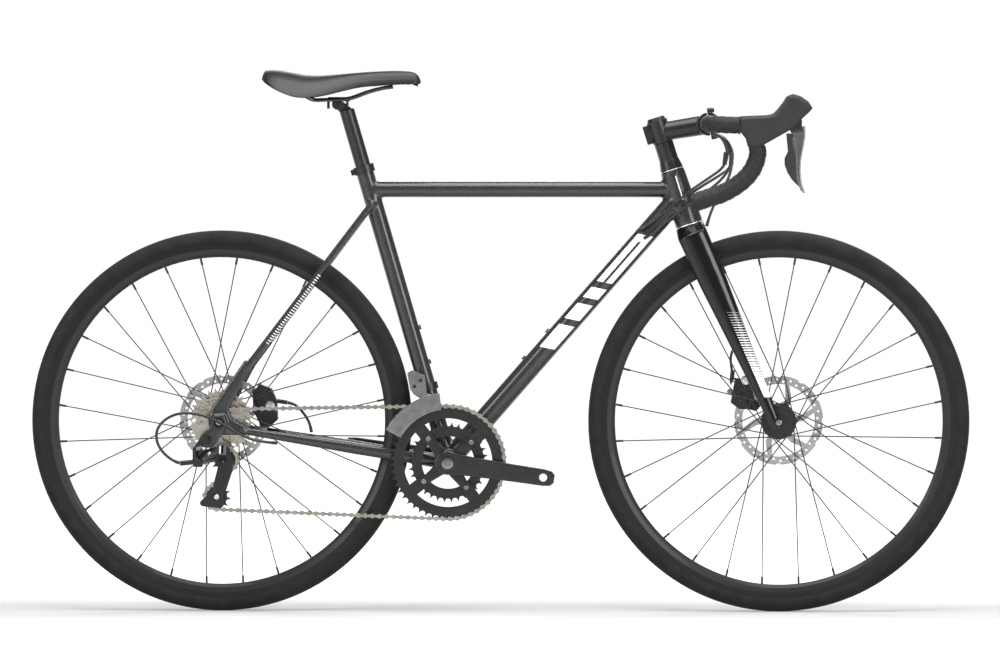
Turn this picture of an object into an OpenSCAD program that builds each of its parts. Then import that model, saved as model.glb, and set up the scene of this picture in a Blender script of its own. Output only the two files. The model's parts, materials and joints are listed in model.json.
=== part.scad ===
// Road bicycle with disc brakes, 2 x 8 gears and no pedals.
// +X points forward, +Y to the rider's left, +Z up. The origin lies on the
// ground, midway between the axles, on the bicycle's centre plane.

/* [Layout] */
// Distance between the two axles
wheelbase = 998; // [960:1:1060]
// Outer radius of the tyres
wheel_r = 341; // [336:1:346]
// How far the bottom bracket lies below the axles
bb_drop = 73; // [60:1:80]
// Bottom bracket to rear axle
chainstay_len = 414; // [405:1:430]
// Seat tube angle from the ground
seat_angle = 73.8; // [72:0.1:75]
// Head tube angle from the ground
head_angle = 72.5; // [71:0.1:74]
// Distance of the front axle from the steering axis
fork_offset = 47; // [40:1:52]

/* [Frame tubes] */
// Steering axis length from the axle's foot to the lower end of the head tube
crown_height = 383; // [375:1:400]
// Head tube length
head_tube_len = 103; // [95:1:180]
// Head tube diameter at its lower end
head_tube_low_d = 50; // [48:1:56]
// Head tube diameter at its upper end
head_tube_top_d = 43; // [42:1:50]
// Height of the top tube's axis above the ground
top_tube_z = 755.8; // [740:0.1:765]
// Top tube diameter
top_tube_d = 29.4; // [25:0.1:36]
// Down tube diameter
down_tube_d = 38.1; // [31:0.1:42]
// Down tube angle from the ground
down_tube_angle = 48.9; // [47.5:0.1:51]
// Seat tube diameter
seat_tube_d = 31.8; // [31.4:0.1:38.2]
// Seat tube length from the bottom bracket's axis
seat_tube_len = 549; // [530:1:665]
// Wall thickness of the main tubes
tube_wall = 1.6; // [1.2:0.1:2]
// Height of the chainstay section at the bottom bracket
chainstay_h = 24; // [20:1:28]
// Seatstay diameter
seatstay_d = 13; // [11:0.1:16]
// Bottom bracket shell outer diameter
bb_shell_d = 42; // [40:1:46]
// Bottom bracket shell width
bb_shell_w = 68; // [68:1:70]

/* [Fork] */
// Blade depth at the crown
blade_top = 54; // [40:1:58]
// Blade depth at the axle
blade_tip = 19; // [16:1:24]
// Steerer diameter
steerer_d = 28.6; // [28:0.1:30]

/* [Seat] */
// Seatpost diameter
post_d = 27.2; // [25:0.1:27.2]
// Height of the seatpost above the seat tube, along its axis
post_out = 107; // [70:1:170]
// How deep the seatpost goes into the seat tube
post_in = 110; // [80:1:150]
// Saddle length
saddle_len = 283; // [255:1:340]
// Saddle width
saddle_w = 146; // [130:1:176]

/* [Bar and stem] */
// Stem length from the steering axis to the bar's axis
stem_len = 88; // [70:1:120]
// Stem rise above the horizontal
stem_rise = 9.3; // [0:0.1:17]
// Bar diameter at the stem
bar_clamp_d = 31.8; // [31.8:0.1:35]
// Bar diameter under the tape
bar_d = 23.8; // [22.2:0.1:24.2]
// Bar width between the hoods, centre to centre
bar_w = 420; // [380:1:460]
// Outer diameter of the wrapped bar
tape_d = 31; // [29:0.5:33]

/* [Wheels] */
// Hub width between the fork ends
front_hub_w = 100; // [100:1:110]
// Hub width between the rear dropouts
rear_hub_w = 142; // [142:1:148]
// Thru-axle diameter
axle_d = 12; // [12:0.5:15]
// Spokes in each wheel
spokes = 28; // [28]
// Spoke diameter
spoke_d = 2; // [1.8:0.1:2.4]
// Radius of the spoke holes in the hub flanges
flange_hole_r = 27.5; // [26:0.5:30]
// Rim depth
rim_depth = 26; // [24:1:34]
// Rim width
rim_w = 24; // [22:1:28]
// Tyre width
tyre_w = 30; // [28:1:32]
// Wall of the tyre, casing and tread together
tyre_wall = 4.5;
// Disc rotor diameter
rotor_d = 160; // [160]

/* [Drivetrain] */
// Crank length
crank_len = 172.5; // [165:0.5:207]
// Crank angle above the horizontal, forward side
crank_angle = -8.5; // [-15:0.5:15]
// Teeth on the big chainring
big_teeth = 50; // [48:1:52]
// Teeth on the small chainring
small_teeth = 34; // [34:1:36]
// Crank spindle diameter
spindle_d = 24; // [22:0.5:25]
// Pedal thread diameter
pedal_d = 14.2; // [14:0.1:15]

/* [Hidden] */

$fn = 64;
// Radial clearance of shafts that turn in a bore
run_gap = 0.03;
// Clearance of pieces that lie against each other
seat_gap = 0.05;

// Angles of the two leaning axes from the vertical
seat_lean = 90 - seat_angle;
head_lean = 90 - head_angle;

// Key points of the side view
rear_c = [-wheelbase / 2, 0, wheel_r];
front_c = [wheelbase / 2, 0, wheel_r];
bb_c = [rear_c.x + sqrt(chainstay_len * chainstay_len - bb_drop * bb_drop), 0, wheel_r - bb_drop];
head_foot = [front_c.x - fork_offset * cos(head_lean), 0, wheel_r - fork_offset * sin(head_lean)];

function seat_at(s, y = 0) = [bb_c.x - s * sin(seat_lean), y, bb_c.z + s * cos(seat_lean)];
function head_at(s, y = 0) = [head_foot.x - s * sin(head_lean), y, head_foot.z + s * cos(head_lean)];
// Position along the steering axis at a height above the ground
function head_s(z) = (z - head_foot.z) / cos(head_lean);
function seat_s(z) = (z - bb_c.z) / cos(seat_lean);

// ---------------------------------------------------------------- helpers

module on_seat(s) { translate(seat_at(s)) rotate([0, -seat_lean, 0]) children(); }
module on_head(s) { translate(head_at(s)) rotate([0, -head_lean, 0]) children(); }

// Round rod from p to q
module rod(p, q, d1, d2 = undef) {
  v = q - p;
  far_d = is_undef(d2) ? d1 : d2;
  translate(p)
    rotate([0, acos(v.z / norm(v)), atan2(v.y, v.x)])
      cylinder(h = norm(v), d1 = d1, d2 = far_d);
}

// Round rod along Y at the point c of the side view
module y_rod(c, y0, y1, d) {
  translate([c.x, max(y0, y1), c.z]) rotate([90, 0, 0]) cylinder(h = abs(y1 - y0), d = d);
}

// Outline in X and Z, drawn from y0 to y1
module y_plate(y0, y1) {
  translate([0, max(y0, y1), 0]) rotate([90, 0, 0]) linear_extrude(abs(y1 - y0)) children();
}

module both_sides() {
  children();
  mirror([0, 1, 0]) children();
}

function unit(v) = v / norm(v);
function path_tangent(p, i) = unit(p[min(i + 1, len(p) - 1)] - p[max(i - 1, 0)]);
function carried(n, t) = unit(n - (n * t) * t);
// Normals carried along a path without twist
function path_normals(p, n, i = 0) =
  i == len(p) ? [] :
  let (m = carried(n, path_tangent(p, i))) concat([m], path_normals(p, m, i + 1));

// Smooth curve through a list of points, with steps pieces between neighbours
function curve_at(p, i, u) =
  let (a = p[max(i - 1, 0)], b = p[i], c = p[i + 1], d = p[min(i + 2, len(p) - 1)])
  0.5 * ((2 * b) + (c - a) * u + (2 * a - 5 * b + 4 * c - d) * u * u
    + (3 * b - a - 3 * c + d) * u * u * u);
function curve(p, steps) =
  [for (i = [0 : len(p) - 2]) for (k = [0 : steps - 1]) curve_at(p, i, k / steps), p[len(p) - 1]];

// Closed tube along a path: solid, or hollow when d_in is given
module sweep(path, d, sides = 8, d_in = 0, first_normal = [0, 0.1, 1]) {
  n = path_normals(path, first_normal);
  rings = len(path);
  function ring(r) = [for (i = [0 : rings - 1]) for (k = [0 : sides - 1])
    let (t = path_tangent(path, i), a = 360 * k / sides)
    path[i] + r * cos(a) * n[i] + r * sin(a) * cross(t, n[i])];
  function at(layer, i, k) = (layer * rings + i) * sides + k % sides;
  outer_faces = [for (i = [0 : rings - 2]) for (k = [0 : sides - 1]) each [
    [at(0, i, k), at(0, i + 1, k), at(0, i + 1, k + 1)],
    [at(0, i, k), at(0, i + 1, k + 1), at(0, i, k + 1)]]];
  inner_faces = [for (i = [0 : rings - 2]) for (k = [0 : sides - 1]) each [
    [at(1, i, k), at(1, i + 1, k + 1), at(1, i + 1, k)],
    [at(1, i, k), at(1, i, k + 1), at(1, i + 1, k + 1)]]];
  ends = [for (k = [0 : sides - 1]) each [
    [at(0, 0, k), at(0, 0, k + 1), at(1, 0, k + 1)],
    [at(0, 0, k), at(1, 0, k + 1), at(1, 0, k)],
    [at(0, rings - 1, k), at(1, rings - 1, k + 1), at(0, rings - 1, k + 1)],
    [at(0, rings - 1, k), at(1, rings - 1, k), at(1, rings - 1, k + 1)]]];
  caps = [[for (k = [0 : sides - 1]) at(0, 0, k)],
    [for (k = [sides - 1 : -1 : 0]) at(0, rings - 1, k)]];
  if (d_in > 0)
    polyhedron(concat(ring(d / 2), ring(d_in / 2)), concat(outer_faces, inner_faces, ends));
  else
    polyhedron(ring(d / 2), concat(outer_faces, caps));
}

// Closed body through a list of rings that have equally many points each
module loft(rings) {
  count = len(rings);
  sides = len(rings[0]);
  side_faces = [for (i = [0 : count - 2]) for (k = [0 : sides - 1]) each [
    [i * sides + k, (i + 1) * sides + k, (i + 1) * sides + (k + 1) % sides],
    [i * sides + k, (i + 1) * sides + (k + 1) % sides, i * sides + (k + 1) % sides]]];
  caps = [[for (k = [0 : sides - 1]) k],
    [for (k = [sides - 1 : -1 : 0]) (count - 1) * sides + k]];
  polyhedron([for (r = rings) each r], concat(side_faces, caps));
}

// Oval disc across a direction that leans from the vertical: depth in the
// side view, width along Y
module oval(c, depth, width, lean) {
  translate(c) rotate([0, -lean, 0]) scale([depth / 10, width / 10, 1])
    cylinder(h = 1, d = 10, $fn = 32);
}

// ------------------------------------------------------------------ frame

top_tube_rear = seat_at(seat_s(top_tube_z));
top_tube_front = head_at(head_s(top_tube_z));
head_low = crown_height;
head_top = crown_height + head_tube_len;
// Where the down tube's axis meets the steering axis
down_start = [bb_c.x, 0, bb_c.z + 2];
down_s = let (g = tan(down_tube_angle))
  (down_start.z + g * (head_foot.x - down_start.x) - head_foot.z)
  / (cos(head_lean) + g * sin(head_lean));
down_end = head_at(down_s);
steerer_bore = 34;
bearing_h = 7;

// Chainstay centreline ends and seatstay centreline ends, right side
stay_front = [bb_c.x - 6, -20, bb_c.z - 1];
stay_rear = [rear_c.x + 32, -rear_hub_w / 2, rear_c.z - 14];
seatstay_top = seat_at(484, -15);
seatstay_low = [rear_c.x + 50, -rear_hub_w / 2 - 1, rear_c.z + 98];
dropout_t = 6;
dropout_y = rear_hub_w / 2;
hanger_t = 6;
hanger_hole = [rear_c.x - 24.5, 0, rear_c.z - 32.6];

module head_tube_skin() {
  on_head(head_low) cylinder(h = head_tube_len, d1 = head_tube_low_d, d2 = head_tube_top_d);
}
module seat_tube_skin() { rod(seat_at(0), seat_at(seat_tube_len), seat_tube_d); }
module top_tube_skin() { rod(top_tube_rear, top_tube_front, top_tube_d); }
module bb_skin() { y_rod(bb_c, -bb_shell_w / 2, bb_shell_w / 2, bb_shell_d); }

module head_tube() {
  color("dimgray") difference() {
    head_tube_skin();
    on_head(head_low - 1) cylinder(h = head_tube_len + 2, d = steerer_bore);
    on_head(head_low - 1) cylinder(h = bearing_h + 1, d = 44);
    on_head(head_top - bearing_h) cylinder(h = bearing_h + 1, d = 38);
  }
}

module top_tube() {
  color("dimgray") difference() {
    top_tube_skin();
    rod(top_tube_rear, top_tube_front, top_tube_d - 2 * tube_wall);
    seat_tube_skin();
    head_tube_skin();
  }
}

module down_tube() {
  color("dimgray") difference() {
    rod(down_start, down_end, down_tube_d);
    rod(down_start, down_end, down_tube_d - 2 * tube_wall);
    head_tube_skin();
    top_tube_skin();
    seat_tube_skin();
    bb_skin();
  }
}

module seat_tube() {
  color("dimgray") difference() {
    seat_tube_skin();
    rod(seat_at(bb_shell_d / 2 + 2), seat_at(seat_tube_len + 5), post_d + 2 * run_gap);
    bb_skin();
  }
}

module bb_shell() {
  color("dimgray") difference() {
    bb_skin();
    y_rod(bb_c, -bb_shell_w, bb_shell_w, spindle_d + 8);
  }
}

// Dropout outline in the side view, counted from the rear axle
module dropout_outline() {
  translate([rear_c.x, rear_c.z]) {
    polygon([[60, 103], [46, 112], [-13, 27], [-20, 12], [-20, -6], [-12, -19], [4, -24],
      [46, -24], [47, -8], [24, 4], [17, 22]]);
  }
}

module dropout_skin() { y_plate(-dropout_y - dropout_t, -dropout_y) dropout_outline(); }

module chainstays() {
  color("dimgray") both_sides() difference() {
    hull() {
      translate(stay_front) rotate([0, 90, 0]) scale([chainstay_h / 10, 1.5, 1])
        cylinder(h = 1, d = 10, $fn = 32);
      translate(stay_front + 0.45 * (stay_rear - stay_front) + [0, -1, 0])
        rotate([0, 90, 0]) scale([0.9 * chainstay_h / 10, 1.6, 1])
          cylinder(h = 1, d = 10, $fn = 32);
      translate(stay_rear) rotate([0, 90, 0]) scale([1.3, 1.1, 1])
        cylinder(h = 1, d = 10, $fn = 32);
    }
    bb_skin();
    seat_tube_skin();
    dropout_skin();
  }
}

module seatstays() {
  color("dimgray") both_sides() difference() {
    rod(seatstay_low, seatstay_top, seatstay_d);
    seat_tube_skin();
    dropout_skin();
  }
}

module rear_dropouts() {
  color("dimgray") both_sides() y_plate(-dropout_y - dropout_t, -dropout_y) difference() {
    dropout_outline();
    translate([rear_c.x, rear_c.z]) circle(d = axle_d + 0.1);
  }
  // Replaceable hanger on the right dropout
  color("darkslategray") y_plate(-dropout_y - dropout_t - hanger_t, -dropout_y - dropout_t)
    difference() {
      translate([rear_c.x, rear_c.z])
        polygon([[-12, 12], [10, 14], [15, -6], [-10, -44], [-30, -46], [-37, -34],
          [-33, -22], [-17, -10]]);
      translate([rear_c.x, rear_c.z]) circle(d = axle_d + 0.1);
      translate([hanger_hole.x, hanger_hole.z]) circle(d = 10.2);
    }
}

bb_cup_w = 10;
bottle_spacing = 64;
// Way along each tube to its lower bottle bolt
seat_bolt_s = 182;
down_bolt_s = 227;

module frame_fittings() {
  // Seat collar with its lug and bolt
  color("black") difference() {
    union() {
      on_seat(seat_tube_len - 11) cylinder(h = 14, d = seat_tube_d + 6);
      on_seat(seat_tube_len - 9) translate([-seat_tube_d / 2 - 8, -9, 0]) cube([8, 18, 10]);
    }
    rod(seat_at(0), seat_at(seat_tube_len), seat_tube_d + 2 * seat_gap);
    rod(seat_at(0), seat_at(seat_tube_len + 20), post_d + 0.6);
    on_seat(seat_tube_len - 12) translate([-seat_tube_d / 2 - 12, -1, 0]) cube([14, 2, 20]);
  }
  // Headset bearings, pressed into the head tube
  color("silver") {
    on_head(head_low) difference() {
      cylinder(h = bearing_h, d = 44);
      translate([0, 0, -1]) cylinder(h = bearing_h + 2, d = steerer_d + 2 * run_gap);
    }
    on_head(head_top - bearing_h) difference() {
      cylinder(h = bearing_h, d = 38);
      translate([0, 0, -1]) cylinder(h = bearing_h + 2, d = steerer_d + 2 * run_gap);
    }
  }
  // Bottom bracket cups with their bearings
  color("black") both_sides() difference() {
    y_rod(bb_c, -bb_shell_w / 2 - bb_cup_w, -bb_shell_w / 2, bb_shell_d + 1);
    y_rod(bb_c, -80, 0, spindle_d + 2 * run_gap);
  }
  // Bottle cage bolts on the seat tube and on the down tube
  color("silver") {
    for (s = [0, bottle_spacing]) {
      translate(seat_at(seat_bolt_s + s)) rotate([0, 90 - seat_lean, 0])
        translate([0, 0, seat_tube_d / 2 + 0.1]) cylinder(h = 3, d = 9);
      translate(down_start + (down_bolt_s + s) * unit(down_end - down_start))
        rotate([0, -down_tube_angle, 0]) translate([0, 0, down_tube_d / 2 + 0.1])
          cylinder(h = 3, d = 9);
    }
  }
}

module rear_axle() {
  color("black") {
    y_rod(rear_c, -dropout_y - dropout_t - hanger_t - 2, dropout_y + dropout_t, axle_d);
    y_rod(rear_c, dropout_y + dropout_t, dropout_y + dropout_t + 6, 20);
  }
  color("silver") difference() {
    y_rod(rear_c, -dropout_y, dropout_y, rear_spindle_d);
    y_rod(rear_c, -dropout_y - 1, dropout_y + 1, axle_d + 2 * run_gap);
  }
}

// ------------------------------------------------------------------- fork

cover_h = 18;
spacer_h = [10, 10, 8, 5];
spacer_d = 34;
function sum_to(list, n) = n == 0 ? 0 : list[n - 1] + sum_to(list, n - 1);
stem_low_s = head_top + 0.3 + cover_h + sum_to(spacer_h, 4);
stem_h = 42;
stem_top_s = stem_low_s + stem_h;
stem_root = head_at(stem_low_s + 20);
bar_c = stem_root + stem_len * [cos(stem_rise), 0, sin(stem_rise)];
fork_top = stem_top_s;
crown_low = wheel_r + 10;
blade_y_top = 33;
blade_y_tip = front_hub_w / 2 + 6;
// Oval sections down one blade: share of the way, depth, width
blade_steps = [[0, blade_top, 26], [0.25, 0.92 * blade_top, 23], [0.62, 34, 18],
  [1, blade_tip, 12]];

function blade_at(f) = let (top = head_at(crown_low + 14))
  [top.x + f * (front_c.x - 2 - top.x), -blade_y_top - f * (blade_y_tip - blade_y_top),
    top.z + f * (front_c.z - 12 - top.z)];

module fork_blade() {
  lean = 24;
  for (i = [0 : 2]) hull() {
    oval(blade_at(blade_steps[i][0]), blade_steps[i][1], blade_steps[i][2], lean);
    oval(blade_at(blade_steps[i + 1][0]), blade_steps[i + 1][1], blade_steps[i + 1][2], lean);
  }
}

module fork() {
  color("black") difference() {
    union() {
      both_sides() fork_blade();
      hull() {
        on_head(head_low - 4) cylinder(h = 3.5, d = head_tube_low_d, $fn = 32);
        both_sides() oval(blade_at(0), blade_top, 26, 24);
      }
      on_head(crown_low + 5) cylinder(h = fork_top - crown_low - 9, d = steerer_d);
    }
    // Axle bore, flat inner faces for the hub, and room for the tyre
    y_rod(front_c, -80, 80, axle_d + 0.1);
    y_rod(front_c, -front_hub_w / 2, front_hub_w / 2, 44);
    y_rod(front_c, -19, 19, 2 * wheel_r + 10);
    on_head(crown_low) cylinder(h = fork_top, d = steerer_d - 5);
  }
}

module front_axle() {
  color("black") {
    y_rod(front_c, -blade_y_tip - 5.5, blade_y_tip + 6.5, axle_d);
    y_rod(front_c, blade_y_tip + 6.5, blade_y_tip + 11, 19);
  }
  color("silver") difference() {
    y_rod(front_c, -front_hub_w / 2, front_hub_w / 2, front_spindle_d);
    y_rod(front_c, -front_hub_w, front_hub_w, axle_d + 2 * run_gap);
  }
}

// ------------------------------------------------------- stem and handlebar

stem_clamp_w = 44;
// Pinch bolts behind the steering axis
pinch_x = 23.5;

module spacers() {
  color("black") difference() {
    union() {
      on_head(head_top + 0.3) cylinder(h = cover_h, d1 = head_tube_top_d - 1, d2 = spacer_d + 1);
      for (i = [0 : 3])
        on_head(head_top + 0.3 + cover_h + sum_to(spacer_h, i) + 0.05)
          cylinder(h = spacer_h[i] - 0.1, d = spacer_d);
    }
    on_head(0) cylinder(h = fork_top, d = steerer_d + 2 * run_gap);
  }
  // Top cap and its bolt
  color("black") on_head(stem_top_s) cylinder(h = 5, d1 = 34, d2 = 30);
}

module bar_ring_skin(d) { y_rod(bar_c, -stem_clamp_w / 2, stem_clamp_w / 2, d); }

// Splits the bar clamp across the stem's own direction
module clamp_half(front) {
  translate(bar_c) rotate([0, -stem_rise, 0])
    translate([front ? 0.6 : -60.6, -50, -50]) cube([60, 100, 100]);
}

module stem() {
  color("black") difference() {
    union() {
      on_head(stem_low_s) cylinder(h = stem_h, d = 37);
      rod(stem_root, bar_c, 34, 36);
      intersection() { bar_ring_skin(42); clamp_half(false); }
      on_head(stem_low_s + 4) translate([-28, -8, 0]) cube([16, 16, stem_h - 8]);
    }
    on_head(stem_low_s - 1) cylinder(h = stem_h + 2, d = steerer_d + 2 * run_gap);
    bar_ring_skin(bar_clamp_d + 2 * run_gap);
    y_rod(bar_c, -60, 60, bar_clamp_d + 2 * run_gap);
    clamp_half(true);
    on_head(stem_low_s) translate([-32, -1, -1]) cube([22, 2, stem_h + 2]);
    for (s = [10, stem_h - 10])
      on_head(stem_low_s + s) translate([-pinch_x, -20, 0]) rotate([-90, 0, 0])
        cylinder(h = 40, d = 5.2);
  }
}

// Bolt places across the face of the bar clamp
module at_face_bolts() {
  for (y = [-14, 14], z = [-23.5, 23.5])
    translate(bar_c) rotate([0, -stem_rise, 0]) translate([0, y, z])
      rotate([0, 90, 0]) children();
}

module stem_faceplate() {
  color("black") difference() {
    union() {
      intersection() { bar_ring_skin(42); clamp_half(true); }
      at_face_bolts() translate([0, 0, 0.8]) cylinder(h = 9, d = 10);
    }
    y_rod(bar_c, -60, 60, bar_clamp_d + 2 * run_gap);
  }
  // Face bolts and the two pinch bolts behind the steerer
  color("silver") {
    at_face_bolts() translate([0, 0, 9.8]) cylinder(h = 4, d = 8);
    for (s = [10, stem_h - 10])
      on_head(stem_low_s + s) translate([-pinch_x, -11, 0]) rotate([-90, 0, 0]) {
        cylinder(h = 22, d = 5);
        cylinder(h = 2.8, d = 8);
      }
  }
}

// Right half of the bar from the clamp outwards, counted from the clamp's axis
bar_half = bar_w / 2;
bar_points = [for (p = [[0, -92, 0], [0, 40 - bar_half, 0], [4, 22 - bar_half, 0],
  [16, 8 - bar_half, -0.5], [34, 1 - bar_half, -1.5], [58, -bar_half, -3],
  [72, -bar_half, -12], [82, -bar_half, -26], [87, -bar_half - 1, -43],
  [86, -bar_half - 2, -61], [76, -bar_half - 4, -84], [56, -bar_half - 6, -105],
  [26, -bar_half - 7, -123], [-7, -bar_half - 8, -134], [-24, -bar_half - 8, -140]])
  bar_c + p];
bar_route = curve(bar_points, 3);
bar_end = bar_route[len(bar_route) - 1];
bar_end_dir = path_tangent(bar_route, len(bar_route) - 1);
// Rings of the route where the tape stops and starts again at the hood
tape_stop = 15;
tape_again = 25;
clamp_zone = 58;
taper_end = 80;

module handlebar() {
  color("black") {
    y_rod(bar_c, -clamp_zone, clamp_zone, bar_clamp_d);
    both_sides() {
      translate([bar_c.x, -clamp_zone, bar_c.z]) rotate([90, 0, 0])
        cylinder(h = taper_end - clamp_zone, d1 = bar_clamp_d, d2 = bar_d);
      translate([bar_c.x, -taper_end, bar_c.z]) rotate([90, 0, 0]) cylinder(h = 12.2, d = bar_d);
      sweep(bar_route, bar_d, 12, 0, [1, 0, 0]);
    }
  }
}

module bar_tape() {
  color("black") both_sides() {
    sweep([for (i = [2 : tape_stop]) bar_route[i]], tape_d, 12, bar_d + 0.8, [1, 0, 0]);
    sweep([for (i = [tape_again : len(bar_route) - 1]) bar_route[i]], tape_d, 12, bar_d + 0.8,
      [1, 0, 0]);
    // End plug
    rod(bar_end + 0.1 * bar_end_dir, bar_end + 4 * bar_end_dir, tape_d - 1);
  }
}

// ------------------------------------------------------- levers and hoods

lever_y = bar_half + 0.5;
lever_c = [bar_c.x, -lever_y, bar_c.z];
bracket_w = 23;
slot_w = 16;
lever_w = 11;
// Brake pivot, and the height of the blade's and the paddle's swing axes,
// counted from the bar's axis at the stem
brake_pivot = [153, 8];
swing_z = -9;
paddle_z = -21;
swing_pin_d = 3;

// Side outline of the bracket under the hood, counted from the bar's axis
bracket_shape = [[70, 4], [112, 8], [130, 20], [140, 42], [152, 46], [168, 36], [177, 27],
  [160, 7], [145, -4], [100, -28], [76, -30], [66, -10]];

module lever_slot() {
  translate([0, -lever_y, 0]) y_plate(-slot_w / 2, slot_w / 2) translate([bar_c.x, bar_c.z])
    polygon([[136, 22], [172, 22], [192, 8], [182, -40], [100, -40], [110, -22], [124, -8], [134, 4]]);
}

module lever_bracket() {
  difference() {
    translate([0, -lever_y, 0]) y_plate(-bracket_w / 2, bracket_w / 2)
      translate([bar_c.x, bar_c.z])
        polygon(bracket_shape);
    sweep(bar_route, bar_d + 0.8, 12, 0, [1, 0, 0]);
    lever_slot();
  }
  // Brake pivot pin in its cheeks
  y_rod(lever_c + [brake_pivot.x, 0, brake_pivot.y], -lever_y - bracket_w / 2 + 0.5,
    -lever_y + bracket_w / 2 - 0.5, 4);
}

module lever_brackets() { color("black") both_sides() lever_bracket(); }

// Side outline of the rubber hood, counted from the bar's axis at the stem
hood_outline = [[55, 14], [80, 15], [105, 16], [116, 19], [124, 27], [134, 40], [140, 50],
  [149, 53.5], [163, 49], [176, 40], [184, 28], [176, 19], [168, 12], [147, -9], [101, -35],
  [84, -46], [70, -41], [66, -26], [58, -16], [52, 0]];

module hoods() {
  color("darkslategray") both_sides() difference() {
    translate([0, -lever_y, 0]) union() {
      y_plate(-17, 17) translate([bar_c.x, bar_c.z]) offset(delta = -4) polygon(hood_outline);
      y_plate(-13.5, 13.5) translate([bar_c.x, bar_c.z]) polygon(hood_outline);
    }
    sweep(bar_route, bar_d + 0.8, 12, 0, [1, 0, 0]);
    // The tape runs a little way under both ends of the hood
    sweep([for (i = [2 : tape_stop]) bar_route[i]], tape_d + 0.6, 12, 0, [1, 0, 0]);
    sweep([for (i = [tape_again : len(bar_route) - 1]) bar_route[i]], tape_d + 0.6, 12, 0, [1, 0, 0]);
    translate([0, -lever_y, 0]) y_plate(-bracket_w / 2, bracket_w / 2)
      translate([bar_c.x, bar_c.z])
        polygon(bracket_shape);
    lever_slot();
  }
}

module x_rod(x0, x1, y, z, d) {
  translate([bar_c.x + x0, y, bar_c.z + z]) rotate([0, 90, 0]) cylinder(h = x1 - x0, d = d);
}

module lever_pivot() {
  difference() {
    union() {
      y_rod(lever_c + [brake_pivot.x, 0, brake_pivot.y], -lever_y - lever_w / 2,
        -lever_y + lever_w / 2, 16);
      translate(lever_c + [147, -lever_w / 2, swing_z]) cube([18, lever_w, -swing_z + brake_pivot.y]);
      x_rod(147, 165, -lever_y, swing_z, lever_w);
    }
    y_rod(lever_c + [brake_pivot.x, 0, brake_pivot.y], -300, 0, 4 + 2 * run_gap);
  }
  x_rod(164.5, 170, -lever_y, swing_z, swing_pin_d);
}
module lever_pivot_right() { color("black") lever_pivot(); }
module lever_pivot_left() { color("black") mirror([0, 1, 0]) lever_pivot(); }

module brake_lever() {
  difference() {
    union() {
      translate([0, -lever_y, 0]) y_plate(-lever_w / 2, lever_w / 2)
        translate([bar_c.x, bar_c.z])
          polygon([[148, -9], [166, -9], [166, -3.5], [171, -3.5], [171, -20], [168.5, -36],
            [165.5, -50], [163, -66], [162.5, -84], [164.5, -104], [170.5, -121], [167, -122],
            [160, -108], [155.5, -92], [154.5, -74], [155, -60], [153, -44], [149.5, -28]]);
    }
    x_rod(140, 165.5, -lever_y, swing_z, lever_w + 1);
    x_rod(160, 180, -lever_y, swing_z, swing_pin_d + 2 * run_gap);
    x_rod(150, 166, -lever_y, swing_z, lever_w + 1);
  }
  x_rod(139, 150, -lever_y, paddle_z, swing_pin_d);
}
module brake_lever_right() { color("gray") brake_lever(); }
module brake_lever_left() { color("gray") mirror([0, 1, 0]) brake_lever(); }

module shift_paddle() {
  difference() {
    translate([0, -lever_y, 0]) y_plate(-2.5, 2.5) translate([bar_c.x, bar_c.z])
      polygon([[140, -17], [147.5, -17], [148, -30], [151.5, -48], [154, -62], [153.8, -76],
        [154.6, -92], [159, -110], [150, -101], [142, -88], [137, -74], [137, -62],
        [143, -50], [141, -30]]);
    x_rod(130, 150, -lever_y, paddle_z, swing_pin_d + 2 * run_gap);
  }
}
module shift_paddle_right() { color("black") shift_paddle(); }
module shift_paddle_left() { color("black") mirror([0, 1, 0]) shift_paddle(); }

// ----------------------------------------------------------------- brakes

rotor_t = 1.8;
front_rotor_y = front_hub_w / 2 - 10.4;
rear_rotor_y = rear_hub_w / 2 - 18.8;
rotor_gap = 1.1;
// Caliper arm pivots
front_arm_pivot = front_c + [-63.5, 0, 39];
rear_arm_pivot = rear_c + [69, 0, 33];

module rotor_groove(c, y) {
  y_rod(c, y - rotor_t / 2 - rotor_gap, y + rotor_t / 2 + rotor_gap, rotor_d + 5);
}

module front_caliper() {
  color("black") difference() {
    union() {
      y_plate(front_rotor_y - 12, front_rotor_y + 14) translate([front_c.x - 64, front_c.z + 50])
        polygon([[-22, -18], [-6, -30], [14, -30], [20, -8], [12, 24], [-14, 26]]);
      y_plate(front_rotor_y + 4, front_rotor_y + 14) translate([front_c.x - 64, front_c.z + 50])
        polygon([[0, -28], [24, -34], [34, -22], [18, 26], [0, 26]]);
    }
    rotor_groove(front_c, front_rotor_y);
    mirror([0, 1, 0]) fork_blade();
  }
  // Pad adjuster on the wheel side, and the housing stop above the arm
  color("silver") y_rod(front_arm_pivot, front_rotor_y - 15, front_rotor_y - 12, 19.5);
  color("silver") y_rod(front_arm_pivot, front_rotor_y + 14, front_rotor_y + 20, 7);
  color("silver") rod(front_c + [-84, front_rotor_y + 16, 72], front_c + [-82, front_rotor_y + 16, 90], 8);
  color("black") y_plate(front_rotor_y + 9, front_rotor_y + 14)
    translate([front_c.x - 64, front_c.z + 50])
      polygon([[-14, 26], [-24, 26], [-24, 20], [-22, 12]]);
  // Housing from the left blade down to its stop
  color("black") difference() {
    housing(caliper_route);
    mirror([0, 1, 0]) fork_blade();
  }
}

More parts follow.
